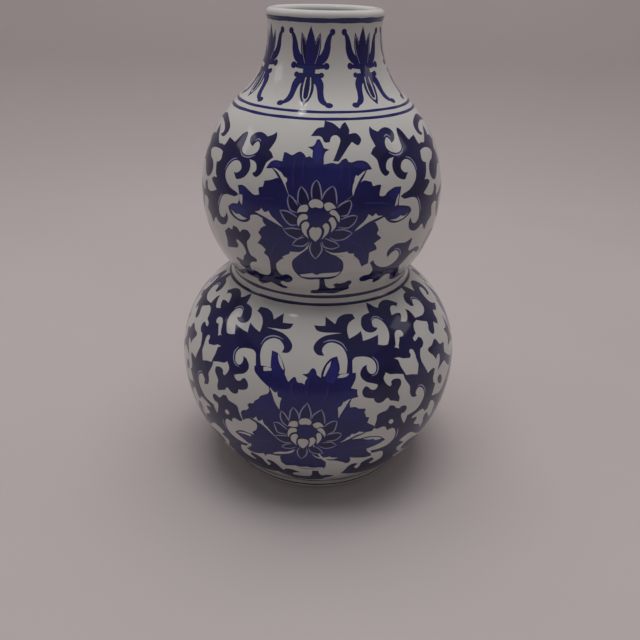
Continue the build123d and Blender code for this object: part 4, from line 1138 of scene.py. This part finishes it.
# Clays: light and dark colour, and waves of the grain
CLAYS = {
    "biscuit_clay": ((0.66, 0.63, 0.58), (0.56, 0.52, 0.46), 1100),
    "slip_clay": ((0.76, 0.71, 0.64), (0.68, 0.62, 0.54), 1600),
}


class Surface:
    """A material in the making: a principled shader whose values come from noise in metres."""

    def __init__(self, name):
        self.material = bpy.data.materials.new(name)
        self.material.use_nodes = True
        self.nodes = self.material.node_tree.nodes
        self.link = self.material.node_tree.links.new
        self.inputs = self.nodes["Principled BSDF"].inputs
        self.where = self.nodes.new("ShaderNodeTexCoord")

    def noise(self, waves, detail, stretch=EVEN):
        """Noise that is drawn out along the axes that stretch makes small."""
        mapping = self.nodes.new("ShaderNodeMapping")
        mapping.inputs["Scale"].default_value = stretch
        self.link(self.where.outputs["Object"], mapping.inputs["Vector"])
        texture = self.nodes.new("ShaderNodeTexNoise")
        texture.inputs["Scale"].default_value = waves
        texture.inputs["Detail"].default_value = detail
        self.link(mapping.outputs["Vector"], texture.inputs["Vector"])
        return texture.outputs["Fac"]

    def ramp(self, value, stops):
        """A colour ramp over a value."""
        ramp = self.nodes.new("ShaderNodeValToRGB")
        elements = ramp.color_ramp.elements
        while len(elements) < len(stops):
            elements.new(NEW_STOP)
        for element, (place, colour) in zip(elements, stops):
            element.position = place
            element.color = (*colour, 1)
        self.link(value, ramp.inputs["Fac"])
        return ramp.outputs["Color"]

    def tone(self, waves, detail, dark, light):
        """A broad play of noise between a dark and a light colour."""
        return self.ramp(self.noise(waves, detail), [(DARK_STOP, dark), (LIGHT_STOP, light)])

    def darkened(self, share, colour, shade):
        """A colour multiplied by a share of a shade."""
        mix = self.nodes.new("ShaderNodeMix")
        mix.data_type = "RGBA"
        mix.blend_type = "MULTIPLY"
        mix.inputs["Factor"].default_value = share
        self.link(colour, mix.inputs["A"])
        self.link(shade, mix.inputs["B"])
        return mix.outputs["Result"]

    def bump(self, height, strength, distance):
        """Raises the surface by a value."""
        node = self.nodes.new("ShaderNodeBump")
        node.inputs["Strength"].default_value = strength
        node.inputs["Distance"].default_value = distance
        self.link(height, node.inputs["Height"])
        self.link(node.outputs["Normal"], self.inputs["Normal"])


def glazed(name, dark, light, wash, brushed):
    """Glaze over a tone: broad wash, brush streaks round the vase, fine specks and a rippled gloss."""
    surface = Surface(name)
    broad = surface.tone(wash, WASH_DETAIL, dark, light)
    streaks = surface.ramp(surface.noise(STREAK_WAVES, STREAK_DETAIL, STREAK_STRETCH), STREAK_STOPS)
    streaked = surface.darkened(brushed, broad, streaks)
    dots = surface.ramp(surface.noise(DOT_WAVES, DOT_DETAIL), DOT_STOPS)
    surface.link(surface.darkened(brushed * DOT_SHARE, streaked, dots), surface.inputs["Base Color"])
    surface.inputs["Roughness"].default_value = GLAZE_ROUGHNESS
    surface.inputs["IOR"].default_value = GLAZE_IOR
    surface.bump(surface.noise(RIPPLE_WAVES, RIPPLE_DETAIL), RIPPLE_STRENGTH, RIPPLE_HEIGHT)
    return surface.material


def bare_clay(name, light, dark, grain):
    """Unglazed fired clay: matt, grainy, with iron specks."""
    surface = Surface(name)
    body = surface.tone(CLAY_WAVES, CLAY_DETAIL, dark, light)
    specks = surface.ramp(surface.noise(IRON_WAVES, IRON_DETAIL), IRON_STOPS)
    surface.link(surface.darkened(IRON_SHARE, body, specks), surface.inputs["Base Color"])
    surface.inputs["Roughness"].default_value = CLAY_ROUGHNESS
    surface.bump(surface.noise(grain, GRAIN_DETAIL), GRAIN_STRENGTH, GRAIN_HEIGHT)
    return surface.material


glazes = {name: glazed(name, *look) for name, look in GLAZES.items()}
clays = {name: bare_clay(name, *look) for name, look in CLAYS.items()}

for node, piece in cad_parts.items():
    material = clays["biscuit_clay"]
    if node.endswith("_lute"):
        material = clays["slip_clay"]
    # Inner, base and hidden outer glaze take the lining glaze, whose darker colour is partly painted shade
    if node.endswith("_glaze"):
        material = glazes["shaded_lining_glaze"]
    for slot in piece.material_slots:
        slot.material = material

outside = painted_glaze([glazes[name] for name in PAINTED])
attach(outside, "root")
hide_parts("outer_glaze")


# Floor with a soft sweep up into a leaning wall all round, nearest behind
FLOOR_BACK, FLOOR_FRONT, FLOOR_SIDE = 0.45, -1.9, 1.8
FLOOR_BEND, FLOOR_BEND_STEPS, WALL_TOP = 0.22, 20, 1.5
FLOOR_EASE, WALL_TILT = 0.6, math.radians(80)
FLOOR_ROUND = 96


def sweep():
    """The floor and wall as one sheet, with rounded corners seen from above."""
    middle, deep = (FLOOR_BACK + FLOOR_FRONT) / 2, (FLOOR_BACK - FLOOR_FRONT) / 2
    step = FLOOR_BEND / FLOOR_BEND_STEPS
    tilts = WALL_TILT * np.linspace(0, 1, FLOOR_BEND_STEPS + 1)[1:] ** FLOOR_EASE
    outs, ups = np.cumsum(step * np.cos(tilts)), np.cumsum(step * np.sin(tilts))
    top_out = outs[-1] + (WALL_TOP - ups[-1]) / math.tan(WALL_TILT)
    section = [(0.0, 0.0), *zip(outs, ups), (top_out, WALL_TOP)]
    turns = np.linspace(0, 2 * math.pi, FLOOR_ROUND, endpoint=False)
    across = np.sign(np.cos(turns)) * np.sqrt(np.abs(np.cos(turns)))
    along = np.sign(np.sin(turns)) * np.sqrt(np.abs(np.sin(turns)))
    points = []
    for out, up in section:
        xs, ys = (FLOOR_SIDE + out) * across, middle + (deep + out) * along
        points += [(x, y, up) for x, y in zip(xs, ys)]
    faces = [list(range(FLOOR_ROUND))]
    for row in range(len(section) - 1):
        low, high = row * FLOOR_ROUND, (row + 1) * FLOOR_ROUND
        for i in range(FLOOR_ROUND):
            j = (i + 1) % FLOOR_ROUND
            faces.append([low + i, high + i, high + j, low + j])
    mesh = bpy.data.meshes.new("floor")
    mesh.from_pydata(points, [], faces)
    mesh.polygons.foreach_set("use_smooth", [False] + [True] * (len(faces) - 1))
    paper = Surface("floor_paper")
    paper.link(paper.tone(PAPER_WAVES, PAPER_DETAIL, PAPER_DARK, PAPER_LIGHT), paper.inputs["Base Color"])
    paper.inputs["Roughness"].default_value = PAPER_ROUGHNESS
    mesh.materials.append(paper.material)
    return added("floor", mesh)


sweep()

# Lamps: place, aim, width, depth, power, colour, and whether the gloss shows them
LAMPS = {
    "glint": ((-0.37, -0.17, 1.45), (0, 0, 0.2), 0.12, 0.12, 0.3, (1.0, 0.98, 0.95), True),
    "left_box": ((-1.09, 0.05, 0.76), (0, 0, 0.15), 0.32, 0.32, 0.4, (1.0, 0.98, 0.96), True),
    "right_box": ((1.08, 0.02, 0.78), (0, 0, 0.15), 0.32, 0.32, 0.28, (1.0, 0.98, 0.96), True),
    "overhead": ((0.0, 0.1, 1.6), (0, 0, 0), 1.3, 1.1, 16.0, (1.0, 0.98, 0.96), False),
}
ROOM_COLOUR, ROOM_STRENGTH = (0.95, 0.96, 1.0, 1), 0.24


def lamp(name, place, aim, wide, deep, power, colour, in_gloss):
    """A soft rectangular lamp aimed at a point."""
    light = bpy.data.lights.new(name, "AREA")
    light.shape = "RECTANGLE"
    light.size, light.size_y = wide, deep
    light.energy = power
    light.color = colour
    hung = added(name, light)
    hung.location = place
    hung.rotation_euler = (Vector(aim) - Vector(place)).to_track_quat("-Z", "Y").to_euler()
    hung.visible_glossy = in_gloss


for name, settings in LAMPS.items():
    lamp(name, *settings)

room = bpy.data.worlds.new("room")
room.use_nodes = True
room.node_tree.nodes["Background"].inputs["Color"].default_value = ROOM_COLOUR
room.node_tree.nodes["Background"].inputs["Strength"].default_value = ROOM_STRENGTH
bpy.context.scene.world = room

# Camera at the photograph's place, turned by degrees, with its frame shifted down
CAMERA_AT = (0.0, -0.387, 0.2712)
CAMERA_PITCH, CAMERA_YAW, CAMERA_ROLL = 66.52, -0.04, 1.23
CAMERA_SHIFT = -0.0575
CAMERA_SENSOR, CAMERA_LENS, CAMERA_NEAR = 36.0, 41.92, 0.01

camera_data = bpy.data.cameras.new("camera")
camera_data.sensor_width = CAMERA_SENSOR
camera_data.lens = CAMERA_LENS
camera_data.shift_y = CAMERA_SHIFT
camera_data.clip_start = CAMERA_NEAR
camera = added("camera", camera_data)
facing = Matrix.Rotation(math.radians(CAMERA_YAW), 4, "Z")
facing @= Matrix.Rotation(math.radians(CAMERA_PITCH), 4, "X")
facing @= Matrix.Rotation(math.radians(CAMERA_ROLL), 4, "Z")
camera.matrix_world = Matrix.Translation(CAMERA_AT) @ facing
bpy.context.scene.camera = camera
bpy.context.scene.view_settings.view_transform = "Standard"
